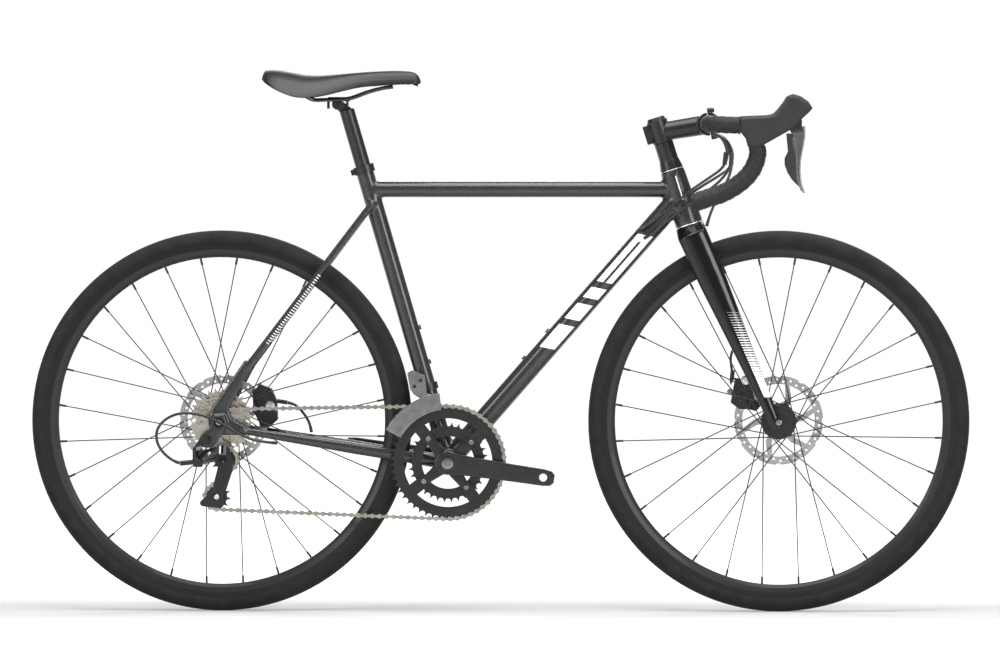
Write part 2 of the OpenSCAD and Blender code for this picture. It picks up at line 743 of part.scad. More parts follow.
module rear_caliper() {
  color("black") difference() {
    y_plate(rear_rotor_y - 12, rear_rotor_y + 14) translate([rear_c.x + 74, rear_c.z + 30])
      polygon([[-20, -14], [-22, 20], [-8, 34], [12, 26], [22, 4], [24, -30], [8, -44],
        [-6, -44]]);
    rotor_groove(rear_c, rear_rotor_y);
    chainstays();
  }
  color("silver") y_rod(rear_arm_pivot, rear_rotor_y - 15, rear_rotor_y - 12, 19.5);
  color("silver") y_rod(rear_arm_pivot, rear_rotor_y + 14, rear_rotor_y + 20, 7);
  color("silver") rod(rear_c + [96, rear_rotor_y + 10, 33], rear_c + [114, rear_rotor_y + 12, 30], 8);
}

module caliper_arm(pivot, rotor_y, tip) {
  lever_len = norm(tip);
  difference() {
    union() {
      y_rod(pivot, rotor_y + 14.5, rotor_y + 19, 16);
      translate([pivot.x, rotor_y + 19, pivot.z]) rotate([0, -atan2(tip.y, tip.x), 0])
        translate([0, -4, -4]) cube([lever_len, 4, 8]);
      y_rod(pivot + [tip.x, 0, tip.y], rotor_y + 14.5, rotor_y + 19, 10);
    }
    y_rod(pivot, rotor_y, rotor_y + 30, 7 + 2 * run_gap);
  }
}
module front_caliper_arm() { color("gray") caliper_arm(front_arm_pivot, front_rotor_y, [-24, 12]); }
module rear_caliper_arm() { color("gray") caliper_arm(rear_arm_pivot, rear_rotor_y, [-4, 27]); }

// ----------------------------------------------------------------- wheels

front_spindle_d = 15;
rear_spindle_d = 17;
bead_r = 311;
rim_outer_r = 319;
rim_inner_r = rim_outer_r - rim_depth;
flange_t = 3;
flange_r = flange_hole_r + 4;
// Hub flange places along Y, right and left
front_flanges = [-33, 24];
rear_flanges = [-20, 34];
// Turning angle of the first spoke in each wheel
front_phase = 95.8;
rear_phase = 44;
spoke_cross = 6;

// Turns a profile of radius and width about the wheel's axis
module about_axle(c) { translate(c) rotate([90, 0, 0]) rotate_extrude($fn = 180) children(); }

module rim_profile() {
  w = rim_w / 2;
  polygon([[rim_inner_r, -5], [rim_inner_r, 5], [rim_inner_r + 6, w - 3], [rim_outer_r - 12, w],
    [rim_outer_r, w], [rim_outer_r, w - 2], [bead_r, w - 2], [bead_r - 1, 6], [bead_r - 5, 3],
    [bead_r - 5, -3], [bead_r - 1, -6], [bead_r, 2 - w], [rim_outer_r, 2 - w],
    [rim_outer_r, -w], [rim_outer_r - 12, -w], [rim_inner_r + 6, 3 - w]]);
}

module rim(c) {
  about_axle(c) difference() {
    rim_profile();
    polygon([[rim_inner_r + 3, -4], [rim_inner_r + 3, 4], [rim_inner_r + 8, rim_w / 2 - 5],
      [bead_r - 7, rim_w / 2 - 5], [bead_r - 7, 5 - rim_w / 2], [rim_inner_r + 8, 5 - rim_w / 2]]);
  }
}

module tyre(c) {
  about_axle(c) difference() {
    translate([wheel_r - tyre_w / 2, 0]) circle(d = tyre_w);
    translate([wheel_r - tyre_w / 2 - 0.5, 0]) circle(d = tyre_w - 2 * tyre_wall);
    translate([bead_r - 12, 7 - rim_w / 2]) square([18, rim_w - 14]);
    translate([bead_r - 22, -rim_w]) square([23, 2 * rim_w]);
    rim_profile();
  }
}

// One spoke with its elbow, through the flange at fy
module spoke(c, fy, phase, j) {
  step = 360 / spokes;
  outward = fy > 0 ? 1 : -1;
  leading = j % 4 < 2;
  side = leading ? 1 : -1;
  rim_a = -(phase + j * step);
  hub_a = rim_a - side * spoke_cross * step;
  // The outer spokes slant across the flange's edge, so they lie further off
  off = side > 0 ? 0.062 * abs(fy) : 0.7;
  elbow_y = fy + side * outward * (flange_t / 2 + spoke_d / 2 + off);
  hub_p = c + [flange_hole_r * cos(hub_a), elbow_y, flange_hole_r * sin(hub_a)];
  rim_p = c + (rim_inner_r - 0.35) * [cos(rim_a), 0, sin(rim_a)];
  inward = unit(hub_p - rim_p);
  rod(hub_p, rim_p + 2 * inward, spoke_d);
  y_rod(hub_p, elbow_y + side * outward * spoke_d / 2, fy - side * outward * (flange_t / 2 + 0.8),
    spoke_d + 0.1);
  // Nipple
  rod(rim_p + 12 * inward, rim_p, 4);
}

module spoke_set(c, flanges, phase, right) {
  color("black")
    for (j = [right ? 0 : 1 : 2 : spokes - 1]) spoke(c, flanges[right ? 0 : 1], phase, j);
}

// Hub shell: profile of radius and Y place, the flanges, and the brake's carrier
module hub_shell(c, flanges, phase, body_r, ends, spindle, rotor_y) {
  difference() {
    union() {
      y_rod(c, ends[0], ends[1], spindle + 7);
      y_rod(c, flanges[0], flanges[1], 2 * body_r);
      for (f = flanges) y_rod(c, f - flange_t / 2, f + flange_t / 2, 2 * flange_r);
      y_rod(c, flanges[1], rotor_y - 1, 2 * body_r + 4);
      y_rod(c, rotor_y - 1, rotor_y + 4, 34);
    }
    y_rod(c, ends[0] - 1, ends[1] + 1, spindle + 2 * run_gap);
    for (i = [0 : 1], j = [0 : 2 : spokes - 1])
      let (a = -(phase + (j + i) * 360 / spokes))
        translate(c + [flange_hole_r * cos(a), 0, flange_hole_r * sin(a)])
          y_rod([0, 0, 0], flanges[i] - flange_t, flanges[i] + flange_t, spoke_d + 0.6);
  }
}

module rotor(c, y) {
  y_plate(y - rotor_t / 2, y + rotor_t / 2) translate([c.x, c.z]) {
    difference() {
      circle(d = rotor_d);
      circle(r = rotor_d / 2 - 15);
      for (i = [0 : 11]) rotate(30 * i) translate([rotor_d / 2 + 4.5, 0]) circle(r = 7);
      for (i = [0 : 35]) rotate(10 * i + 3) translate([rotor_d / 2 - 10 + 3 * (i % 2), 0])
        circle(r = 2.2);
    }
    for (i = [0 : 5]) rotate(60 * i)
      polygon([[19, -6], [45, -1], [rotor_d / 2 - 14, 16], [rotor_d / 2 - 14, 25], [40, 9], [19, 4]]);
    difference() {
      circle(r = 23);
      circle(r = 17.1);
    }
  }
}

module front_tyre() { color("black") tyre(front_c); }
module front_rim() { color("black") rim(front_c); }
module front_spokes_right() { spoke_set(front_c, front_flanges, front_phase, true); }
module front_spokes_left() { spoke_set(front_c, front_flanges, front_phase, false); }
module front_hub() {
  color("black") hub_shell(front_c, front_flanges, front_phase, 15,
    [-front_hub_w / 2 + 2, front_hub_w / 2 - 2], front_spindle_d, front_rotor_y);
}
module front_rotor() { color("silver") rotor(front_c, front_rotor_y); }
module rear_tyre() { color("black") tyre(rear_c); }
module rear_rim() { color("black") rim(rear_c); }
module rear_spokes_right() { spoke_set(rear_c, rear_flanges, rear_phase, true); }
module rear_spokes_left() { spoke_set(rear_c, rear_flanges, rear_phase, false); }
module rear_hub() {
  color("black") hub_shell(rear_c, rear_flanges, rear_phase, 16,
    [rear_flanges[0] - 3, rear_hub_w / 2 - 2], rear_spindle_d, rear_rotor_y);
}
module rear_rotor() { color("silver") rotor(rear_c, rear_rotor_y); }

// ------------------------------------------------------------- drivetrain

pitch = 12.7;
cog_teeth = [11, 13, 15, 17, 19, 21, 24, 28];
cog_pitch = 4.8;
cog_y0 = -rear_hub_w / 2 + 8;
cog_t = 1.8;
ring_t = 2.2;
big_y = -47.5;
small_y = -40.5;
roller_r = 3;

// Turning angle of the spider's arm i
function spider_at(i) = 41 + 88.5 * i;
function pitch_r(n) = pitch / (2 * sin(180 / n));
crank_dir = [cos(crank_angle), 0, sin(crank_angle)];

// Toothed outline with a valley at the given angle
module sprocket(n, valley) {
  r = pitch_r(n);
  s = 360 / n;
  polygon([for (i = [0 : n - 1]) each
    [for (p = [[-4, -0.2], [-4, 0.2], [-0.8, 0.385], [2.4, 0.44], [2.4, 0.56], [-0.8, 0.615]])
      (r + p[0]) * [cos(valley + s * (i + p[1])), sin(valley + s * (i + p[1]))]]]);
}

module cassette() {
  color("tan") difference() {
    union() {
      for (i = [0 : 7])
        y_plate(cog_y0 + cog_pitch * i - cog_t / 2, cog_y0 + cog_pitch * i + cog_t / 2)
          translate([rear_c.x, rear_c.z]) difference() {
            sprocket(cog_teeth[i], i == 0 ? cog_valley : 17 * i);
            if (i > 3)
              for (k = [0 : 5]) rotate(60 * k) translate([pitch_r(cog_teeth[i]) - 10, 0])
                circle(r = 4.5);
          }
      y_rod(rear_c, cog_y0 - 3, cog_y0 + cog_pitch * 7 + 3, 34);
    }
    y_rod(rear_c, -80, 0, rear_spindle_d + 2 * run_gap);
  }
}

// Inner and outer faces of both crank arms, from the centre plane
arm_in = 60;
arm_out = 74;

module cranks() {
  color("dimgray") {
    difference() {
      union() {
        y_plate(-arm_out, -arm_in) translate([bb_c.x, bb_c.z]) rotate(crank_angle) crank_outline();
        y_rod(bb_c, -arm_out, -bb_shell_w / 2 - bb_cup_w - 0.3, 40);
        y_plate(-54, big_y - ring_t / 2) translate([bb_c.x, bb_c.z])
          for (i = [0 : 3]) rotate(spider_at(i))
            polygon([[0, -14], [40, -9], [58, -7], [62, 0], [58, 7], [40, 9], [0, 14]]);
      }
      y_rod(bb_c, -80, 0, spindle_d + 2 * run_gap);
      translate(crank_len * crank_dir) y_rod(bb_c, -80, 0, pedal_d);
    }
    difference() {
      union() {
        y_plate(arm_in, arm_out) translate([bb_c.x, bb_c.z]) rotate(crank_angle + 180) crank_outline();
        y_rod(bb_c, bb_shell_w / 2 + bb_cup_w + 0.3, arm_out, 38);
      }
      y_rod(bb_c, 0, 80, spindle_d + 2 * run_gap);
      translate(-crank_len * crank_dir) y_rod(bb_c, 0, 80, pedal_d);
    }
  }
  color("silver") {
    y_rod(bb_c, 1 - arm_out, arm_out - 1, spindle_d);
    both_sides() y_rod(bb_c, -arm_out - 0.6, 1 - arm_out, spindle_d - 2);
  }
}

module crank_outline() {
  polygon([[0, -20], [40, -17.5], [120, -15.5], [crank_len, -15], [crank_len + 14, -13],
    [crank_len + 20, -7], [crank_len + 20, 7], [crank_len + 14, 13], [crank_len, 15],
    [120, 15.5], [40, 17.5], [0, 20]]);
  circle(r = 21);
}

bolt_circle_r = 55;

module chainrings() {
  color("gray") {
    y_plate(big_y - ring_t / 2, big_y + ring_t / 2) translate([bb_c.x, bb_c.z]) difference() {
      union() {
        difference() {
          sprocket(big_teeth, ring_valley);
          circle(r = pitch_r(big_teeth) - 22);
        }
        for (i = [0 : 3]) rotate(spider_at(i))
          translate([bolt_circle_r - 8, -11]) square([pitch_r(big_teeth) - 22 - bolt_circle_r + 12, 22]);
      }
      for (i = [0 : 3]) rotate(spider_at(i)) translate([bolt_circle_r, 0]) circle(d = 8.1);
    }
    y_plate(small_y - ring_t / 2, small_y + ring_t / 2) translate([bb_c.x, bb_c.z]) difference() {
      sprocket(small_teeth, 5);
      circle(r = bolt_circle_r - 8);
      for (i = [0 : 3]) rotate(spider_at(i)) translate([bolt_circle_r, 0]) circle(d = 8.1);
    }
  }
  // Bolts with the spacers between the rings
  color("silver") for (i = [0 : 3]) {
    c = bb_c + bolt_circle_r * [cos(spider_at(i)), 0, sin(spider_at(i))];
    y_rod(c, big_y - ring_t / 2, small_y + ring_t / 2 + 1.5, 8);
    y_rod(c, big_y + ring_t / 2, small_y - ring_t / 2, 12);
  }
}

// Chain line: big ring, smallest cog, guide pulley, tension pulley
pulley_teeth = 11;
pulley_r = pitch_r(pulley_teeth);
guide_c = [rear_c.x + 9.5, 0, rear_c.z - 68];
tension_c = [rear_c.x - 5, 0, rear_c.z - 134];
pulley_t = 2.4;

// Outer tangent between two circles of the side view, kept on the left of
// the way from a to b for side = 1, on its right for side = -1
function outer_tangent(a, ra, b, rb, side) =
  let (v = [b.x - a.x, b.z - a.z], len = norm(v), dir = atan2(v.y, v.x),
    off = side * acos((ra - rb) / len))
  [dir + off, dir + off];
function cross_tangent(a, ra, b, rb, side) =
  let (v = [b.x - a.x, b.z - a.z], len = norm(v), dir = atan2(v.y, v.x),
    off = side * acos((ra + rb) / len))
  [dir + off, dir + off + 180];
function on_circle(c, r, a, y) = [c.x + r * cos(a), y, c.z + r * sin(a)];
function arc_points(c, r, a0, a1, n, y) =
  [for (i = [0 : n]) on_circle(c, r, a0 + (a1 - a0) * i / n, y)];
// Angle b brought to within one turn above a
function above(a, b) = b < a ? above(a, b + 360) : b >= a + 360 ? above(a, b - 360) : b;

big_r = pitch_r(big_teeth);
cog_r = pitch_r(cog_teeth[0]);
// The chain runs backwards along the top and forwards along the lower side
top_run = outer_tangent(bb_c, big_r, rear_c, cog_r, -1);
cog_run = cross_tangent(rear_c, cog_r, guide_c, pulley_r, -1);
cage_run = cross_tangent(guide_c, pulley_r, tension_c, pulley_r, 1);
low_run = outer_tangent(tension_c, pulley_r, bb_c, big_r, -1);

// Straight ways of the chain beside the smallest cog and beside the big ring
cog_lead = 32;
ring_lead = 46;
cog_arc = [top_run[1], above(top_run[1], cog_run[0])];
guide_arc = [above(cage_run[0], cog_run[1]), cage_run[0]];
tension_arc = [cage_run[1], above(cage_run[1], low_run[0])];
ring_arc = [low_run[1], above(low_run[1], top_run[0])];
// Ends of the straight runs above and below
top_in = on_circle(bb_c, big_r, ring_arc[1], 0);
top_out = on_circle(rear_c, cog_r, cog_arc[0], 0);
low_in = on_circle(bb_c, big_r, ring_arc[0], 0);
low_out = on_circle(tension_c, pulley_r, tension_arc[1], 0);
chain_path = concat(
  arc_points(rear_c, cog_r, cog_arc[0], cog_arc[1], 14, cog_y0),
  arc_points(guide_c, pulley_r, guide_arc[0], guide_arc[1], 9, cog_y0),
  arc_points(tension_c, pulley_r, tension_arc[0], tension_arc[1], 13, cog_y0),
  [low_in + ring_lead * unit(low_out - low_in) + [0, big_y, 0]],
  arc_points(bb_c, big_r, ring_arc[0], ring_arc[1], 48, big_y),
  [top_in + ring_lead * unit(top_out - top_in) + [0, big_y, 0],
    top_out + cog_lead * unit(top_in - top_out) + [0, cog_y0, 0]]);
function loop_len(p, i = 0) =
  i == len(p) ? 0 : norm(p[(i + 1) % len(p)] - p[i]) + loop_len(p, i + 1);
chain_len = loop_len(chain_path);
links = 2 * round(chain_len / pitch / 2);
link_step = chain_len / links;
// Place along the closed path at the distance s
function along(p, s, i = 0) =
  let (a = p[i % len(p)], b = p[(i + 1) % len(p)], d = norm(b - a))
  s <= d ? a + (b - a) * s / d : along(p, s - d, i + 1);
// Distance from the start to the path's point with the number i
function way_to(p, i) = i == 0 ? 0 : norm(p[i] - p[i - 1]) + way_to(p, i - 1);
// Angle of a roller that lies near the middle of an arc, for the teeth's valleys
function valley_on(c, first, count) =
  let (s = way_to(chain_path, first + floor(count / 2)),
    roller = along(chain_path, link_step * round(s / link_step)))
  atan2(roller.z - c.z, roller.x - c.x);
cog_valley = valley_on(rear_c, 0, 15);
guide_valley = valley_on(guide_c, 15, 10);
tension_valley = valley_on(tension_c, 25, 14);
ring_valley = valley_on(bb_c, 40, 49);

// Closed flat band along the chain's path, between two offsets along Y
module band(path, h, y0, y1) {
  n = len(path);
  function up(i) = let (t = path[(i + 1) % n] - path[(i + n - 1) % n]) unit([-t.z, 0, t.x]);
  pts = [for (i = [0 : n - 1]) each [path[i] - up(i) * h / 2 + [0, y0, 0],
    path[i] + up(i) * h / 2 + [0, y0, 0], path[i] + up(i) * h / 2 + [0, y1, 0],
    path[i] - up(i) * h / 2 + [0, y1, 0]]];
  polyhedron(pts, [for (i = [0 : n - 1]) for (k = [0 : 3])
    let (j = (i + 1) % n, m = (k + 1) % 4) each
    [[4 * i + k, 4 * i + m, 4 * j + m], [4 * i + k, 4 * j + m, 4 * j + k]]]);
}

module chain() {
  color("silver") {
    band(chain_path, 8, -3.6, -2.4);
    band(chain_path, 8, 2.4, 3.6);
    for (i = [0 : links - 1]) {
      c = along(chain_path, i * link_step);
      y_rod(c, c.y - 2.2, c.y + 2.2, 2 * roller_r);
    }
  }
}

module pulley(c, valley) {
  color("black") y_plate(cog_y0 - pulley_t / 2, cog_y0 + pulley_t / 2) translate([c.x, c.z])
    difference() {
      sprocket(pulley_teeth, valley);
      circle(d = 5 + 2 * run_gap);
    }
}
module guide_pulley() { pulley(guide_c, guide_valley); }
module tension_pulley() { pulley(tension_c, tension_valley); }

// ------------------------------------------------------- rear derailleur

// Two links of one length swing about slanted axes on the knuckle
link_len = 42;
link_start = -28.7;
link_slant = 33.2;
link_pin_d = 4;
link_gap = 13;
link_h = 16;
lug_h = 3;
knuckle_y = -dropout_y - dropout_t - hanger_t;
outer_root = hanger_hole + [-10, knuckle_y + 4, -29];
inner_root = outer_root + link_gap * [0, cos(link_slant), -sin(link_slant)];
link_tip_shift = link_len * [cos(link_start), sin(link_start) * cos(link_slant),
  -sin(link_start) * sin(link_slant)];
cage_pivot = [guide_c.x + 7, 0, guide_c.z - 6];

// Places children with their Z along the link axis and X along a link at rest
module at_link(p, turn) { translate(p) rotate([-link_slant, 0, 0]) rotate([0, 0, turn]) children(); }

module link_bar(h) {
  difference() {
    hull() {
      cylinder(h = h, d = 9, center = true, $fn = 32);
      translate([link_len, 0, 0]) cylinder(h = h, d = 9, center = true, $fn = 32);
    }
    for (x = [0, link_len]) translate([x, 0, 0])
      cylinder(h = h + 2, d = link_pin_d + 2 * run_gap, center = true);
  }
}
module derailleur_link_outer() { color("silver") at_link(outer_root, link_start) link_bar(link_h); }
module derailleur_link_inner() { color("gray") at_link(inner_root, link_start) link_bar(link_h); }

// Two lugs that hold both pins at one end of the links, with a web beside them
module link_lugs(root, web_side) {
  at_link(root, 0) {
    for (z = [-1, 1]) translate([0, 0, z * (link_h / 2 + 0.4 + lug_h / 2)]) hull() {
      cylinder(h = lug_h, d = 10, center = true, $fn = 32);
      translate([0, link_gap, 0]) cylinder(h = lug_h, d = 10, center = true, $fn = 32);
      translate([web_side * 9, link_gap / 2, 0]) cube([3, link_gap + 8, lug_h], center = true);
    }
    translate([web_side * 9, link_gap / 2, 0])
      cube([6, link_gap + 8, link_h + 2 * lug_h + 0.8], center = true);
    for (y = [0, link_gap]) translate([0, y, 0])
      cylinder(h = link_h + 2 * lug_h, d = link_pin_d, center = true);
  }
}

module derailleur_knuckle() {
  color("dimgray") {
    link_lugs(outer_root, -1);
    y_rod(hanger_hole, knuckle_y, knuckle_y - 12, 17);
    y_rod(hanger_hole, knuckle_y + hanger_t, knuckle_y, 10);
    y_plate(knuckle_y - 9, knuckle_y - 0.3) translate([hanger_hole.x, hanger_hole.z])
      polygon([[-22, -40], [-15.5, -40], [-15.5, -12], [-2, -8.5], [8, -2], [0, 8.5], [-9, 4],
        [-22, -14]]);
    // Arm and barrel adjuster for the shift housing
    rod(hanger_hole + [-45, knuckle_y - 6, -40.5], hanger_hole + [-19, knuckle_y - 5, -38], 9);
  }
  color("silver") y_rod(hanger_hole, knuckle_y - 12, knuckle_y - 15, 15);
}

arm_y = cog_y0 - 9;
module derailleur_arm() {
  tip = outer_root + link_tip_shift;
  color("dimgray") {
    link_lugs(tip, 1);
    y_rod(cage_pivot, arm_y, arm_y - 13, 18);
    y_plate(arm_y - 13, arm_y - 2) translate([tip.x, tip.z])
      polygon([[6.5, 2], [12, 6], [18, -2], [20, -18], [8, -24], [6.5, -14]]);
  }
}

cage_in = 5.2;
plate_t = 1.8;

module cage_outline() {
  hull() {
    translate([cage_pivot.x, cage_pivot.z]) circle(r = 10, $fn = 32);
    translate([guide_c.x, guide_c.z]) circle(r = 9, $fn = 32);
    translate([tension_c.x + 4, tension_c.z + 12]) circle(r = 12, $fn = 32);
  }
  hull() {
    translate([tension_c.x, tension_c.z]) circle(r = 13, $fn = 32);
    translate([tension_c.x - 24, tension_c.z - 11]) circle(r = 6, $fn = 32);
    translate([tension_c.x + 6, tension_c.z - 14]) circle(r = 6, $fn = 32);
  }
}

module derailleur_cage() {
  color("black") difference() {
    union() {
      y_plate(cog_y0 - cage_in - plate_t, cog_y0 - cage_in) cage_outline();
      y_plate(cog_y0 + cage_in, cog_y0 + cage_in + plate_t) cage_outline();
    }
    for (c = [guide_c, tension_c]) y_rod(c, -80, 0, 5);
  }
  color("silver") for (c = [guide_c, tension_c])
    y_rod(c, cog_y0 - cage_in - plate_t - 1, cog_y0 + cage_in + plate_t + 1, 5);
  color("black") y_rod(cage_pivot, arm_y, cog_y0 - cage_in - plate_t, 10);
}

// ------------------------------------------------------ front derailleur

mech_s = 132;
mech_h = 13;
guide_d = 5;
mech_foot = [bb_c.x - 60, 0, bb_c.z + 136];
// Two guide pins carry the cage, counted from the foot of the mechanism
guide_pins = [[0, 0], [11, 11]];
cage_y = [big_y - 10.1, big_y + 4.9];
cage_plate_t = 1.5;
cage_arc = [97, 152];

module front_derailleur_clamp() {
  color("black") difference() {
    union() {
      on_seat(mech_s) cylinder(h = mech_h, d = seat_tube_d + 7);
      y_plate(-30, -12) translate([mech_foot.x, mech_foot.z])
        polygon([[-8, -8], [4, -11], [21, -8], [21, 12], [16, 19], [2, 19], [-8, 8]]);
    }
    rod(seat_at(0), seat_at(seat_tube_len), seat_tube_d + 2 * seat_gap);
  }
  color("silver") for (p = guide_pins)
    y_rod(mech_foot + [p.x, 0, p.y], big_y - 5, -29, guide_d);
}

// Ring sector about the bottom bracket
module sector(r0, r1, a0, a1) {
  polygon(concat([for (i = [0 : 12]) let (a = a0 + (a1 - a0) * i / 12) r1 * [cos(a), sin(a)]],
    [for (i = [12 : -1 : 0]) let (a = a0 + (a1 - a0) * i / 12) r0 * [cos(a), sin(a)]]));
}

module front_derailleur_cage() {
  color("gray") {
    for (y = cage_y)
      y_plate(y, y + cage_plate_t) translate([bb_c.x, bb_c.z])
        sector(big_r - 6, big_r + 24, cage_arc[0], cage_arc[1]);
    // Bridges over the chain and behind it
    y_plate(cage_y[0] + 1, cage_y[1] + 1) translate([bb_c.x, bb_c.z]) {
      sector(big_r + 21, big_r + 24, cage_arc[0] + 1, cage_arc[0] + 22);
      sector(big_r + 4, big_r + 20, cage_arc[1] - 3, cage_arc[1]);
    }
    // Carrier on the guide pins
    difference() {
      y_plate(big_y + 1.5, big_y + 8.5) translate([mech_foot.x, mech_foot.z])
        polygon([[-8, -4], [-13, 24], [-4, 29], [18, 20], [22, -12], [30, -15], [28, -20],
          [12, -23], [-2, -14]]);
      for (p = guide_pins)
        y_rod(mech_foot + [p.x, 0, p.y], big_y - 9, 0, guide_d + 2 * run_gap);
    }
  }
}

// ------------------------------------------------------------------- seat

head_s0 = seat_tube_len + post_out;
rail_y = 22;
rail_d = 7;
// Clamp bolts of the saddle
seat_bolt_x = 17;
seat_bolt_d = 5;
saddle_c = seat_at(head_s0) + [-16, 0, 18];
// Right rail: points counted from the clamp
rail_points = [for (p = [[-76, -34, 21.4], [-62, -30, 10.4], [-44, -rail_y, 0], [-20, -rail_y, 0],
  [0, -rail_y, 0], [24, -rail_y, 3], [53, -20, 13.4], [80, -15, 20.6], [98, -12, 23]])
  saddle_c + p];

module seatpost() {
  color("black") {
    rod(seat_at(seat_tube_len - post_in), seat_at(head_s0), post_d);
    // Cradle under the rails, carried by a neck that leans back
    difference() {
      union() {
        y_rod(saddle_c + [0, 0, -8], -rail_y + rail_d / 2 + 0.2, rail_y - rail_d / 2 - 0.2, 20);
        y_plate(-9, 9) translate([saddle_c.x, saddle_c.z])
          polygon([[-9, -10], [10, -4], [26, -16], [24, -26], [8, -26]]);
      }
      rod(seat_at(seat_tube_len - post_in), seat_at(head_s0), post_d);
      y_plate(-40, 40) translate([saddle_c.x - 40, saddle_c.z - rail_d / 2 + 0.5]) square([80, 40]);
      for (x = [-1, 1]) translate(saddle_c + [x * seat_bolt_x, 0, -20])
        cylinder(h = 30, d = seat_bolt_d + 0.4);
    }
  }
}

module saddle_rails() {
  color("silver") both_sides() sweep(curve(rail_points, 3), rail_d, 10);
  // Upper clamp plate over both rails, and its two bolts
  color("black") {
    y_plate(-rail_y + rail_d / 2 + 0.2, rail_y - rail_d / 2 - 0.2)
      translate([saddle_c.x, saddle_c.z])
        polygon([[-22, -2.6], [22, -2.6], [16, 5], [-16, 5]]);
  }
  color("silver") for (x = [-1, 1])
    translate(saddle_c + [x * seat_bolt_x, 0, -16]) cylinder(h = 13.3, d = seat_bolt_d);
}

// Saddle sections from tail to nose: share of the length, share of the half
// width, crown height and edge height above the clamp
saddle_steps = [[0, 0.45, 47, 39], [0.03, 0.72, 54, 31], [0.1, 0.93, 54.5, 19],
  [0.2, 1, 50, 8], [0.28, 0.97, 46, 6], [0.38, 0.78, 45, 10], [0.5, 0.54, 47, 18],
  [0.62, 0.37, 49.5, 25], [0.75, 0.3, 51.5, 28], [0.87, 0.27, 52, 30], [0.95, 0.24, 50, 31],
  [0.985, 0.18, 44, 31], [1, 0.1, 38, 33]];
saddle_tail = saddle_c.x - 0.475 * saddle_len;

// Height of the saddle's skin at the share u of the half width
function skin_z(q, u) = q[2] - (q[2] - q[3]) * pow(abs(u), 2.6);
// Section between two depths below the skin, out to the share w of the width
function saddle_ring(q, w, top, low, low_edge) =
  let (x = saddle_tail + q[0] * saddle_len, hw = q[1] * saddle_w / 2)
  concat(
    [for (k = [4 : -1 : -4]) let (u = w * k / 4)
      [x, u * hw, saddle_c.z + skin_z(q, u) - top]],
    [for (k = [-3 : 3]) let (u = w * k / 3.6, d = low + (low_edge - low) * abs(k) / 3)
      [x, u * hw, saddle_c.z + skin_z(q, u) - d]]);
pad_depth = 13;
pad_edge = 5;

module saddle_pad() {
  color("black") loft([for (q = saddle_steps) saddle_ring(q, 1, 0, pad_depth, pad_edge)]);
}

module saddle_shell() {
  color("dimgray") loft([for (i = [1 : 11]) saddle_ring(saddle_steps[i], 0.8, pad_depth + 1.5,
    pad_depth + 5, pad_depth + 3)]);
}

// ---------------------------------------------------------------- housings

housing_d = 5;
right_shift_route = [[380, -70, 856], [396, -72, 848], [405, -69, 830], [406, -64, 811],
  [396, -56, 793], [376, -46, 778], [350, -38, 760], [322, -32, 738], [296, -27, 716],
  [272, -22.5, 697], [252, -17.7, 683]];
left_shift_route = [[380, 70, 856], [400, 70, 848], [413, 65, 830], [416, 56, 811],
  [410, 46, 794], [392, 37, 780], [366, 32, 764], [336, 31, 744], [306, 28, 722],
  [280, 23.5, 702], [258, 19.2, 686]];
rear_brake_route = [[380, -90, 856], [400, -95, 846], [412, -90, 818], [410, -74, 794],
  [392, -58, 770], [362, -44, 746], [330, -37, 722], [300, -31, 700], [276, -25.5, 680],
  [258, -21.8, 668]];
front_brake_route = [[380, 88, 856], [402, 92, 846], [415, 84, 818], [412, 64, 786],
  [400, 44, 758], [386, 28, 734], [376, 18, 710], [370, 12, 690]];
caliper_route = [[421, 47, 474], [415, 50, 462], [413, 53, 448], [415, 55.6, 431.5]];
loop_route = [[-396, -61, 303], [-422, -67, 306], [-450, -79, 314], [-484, -92, 334],
  [-517, -96, 350], [-545, -96, 357], [-572, -95, 356], [-595, -94, 345], [-608, -93, 328],
  [-609, -92, 308], [-600, -91, 290], [-585, -90, 276], [-569, -89, 268]];
stay_route = [[-384.5, 64.2, 371], [-370, 65, 366], [-356, 62, 352], [-346, 58, 336],
  [-341, 55, 318]];

module housing(route) { sweep(curve(route, 3), housing_d, 8); }

module steering_housings() {
  color("black") {
    housing(right_shift_route);
    housing(left_shift_route);
    housing(rear_brake_route);
    housing(front_brake_route);
    // In-line barrel adjusters of the two shift cables
    rod([404.5, -67, 822], [402, -60.5, 801], 8);
    rod([414.5, 60, 820], [413.5, 50.5, 800], 8);
  }
}

module frame_housings() {
  color("black") {
    housing(loop_route);
    housing(stay_route);
  }
}

head_tube();
top_tube();
down_tube();
seat_tube();
bb_shell();
chainstays();
seatstays();
rear_dropouts();
frame_fittings();
rear_axle();
rear_caliper();
steering_housings();
frame_housings();
chain();
front_derailleur_clamp();
derailleur_knuckle();
seatpost();
saddle_rails();
saddle_shell();
saddle_pad();
fork();
spacers();
stem();
stem_faceplate();
handlebar();
bar_tape();
lever_brackets();
hoods();
front_caliper();
front_axle();
lever_pivot_right();
lever_pivot_left();
brake_lever_right();
brake_lever_left();
shift_paddle_right();
shift_paddle_left();
front_caliper_arm();
rear_caliper_arm();
front_tyre();
front_rim();
front_spokes_right();
front_spokes_left();
front_hub();
front_rotor();
rear_tyre();
rear_rim();
rear_spokes_right();
rear_spokes_left();
rear_hub();
rear_rotor();
cassette();
cranks();
chainrings();
front_derailleur_cage();
derailleur_link_outer();
derailleur_link_inner();
derailleur_arm();
derailleur_cage();
guide_pulley();
tension_pulley();
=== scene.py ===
# %% [markdown]
# # Dressing a road bicycle
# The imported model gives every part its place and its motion. This lesson gives those
# parts their looks. Whatever the CAD shape already shows well keeps its mesh and gets a
# finish. What needs rounder or finer shapes is rebuilt here and stands in for its node.

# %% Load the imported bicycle
import json
import math

import bmesh
import bpy
import numpy as np
from mathutils import Matrix, Vector
from mathutils.bvhtree import BVHTree


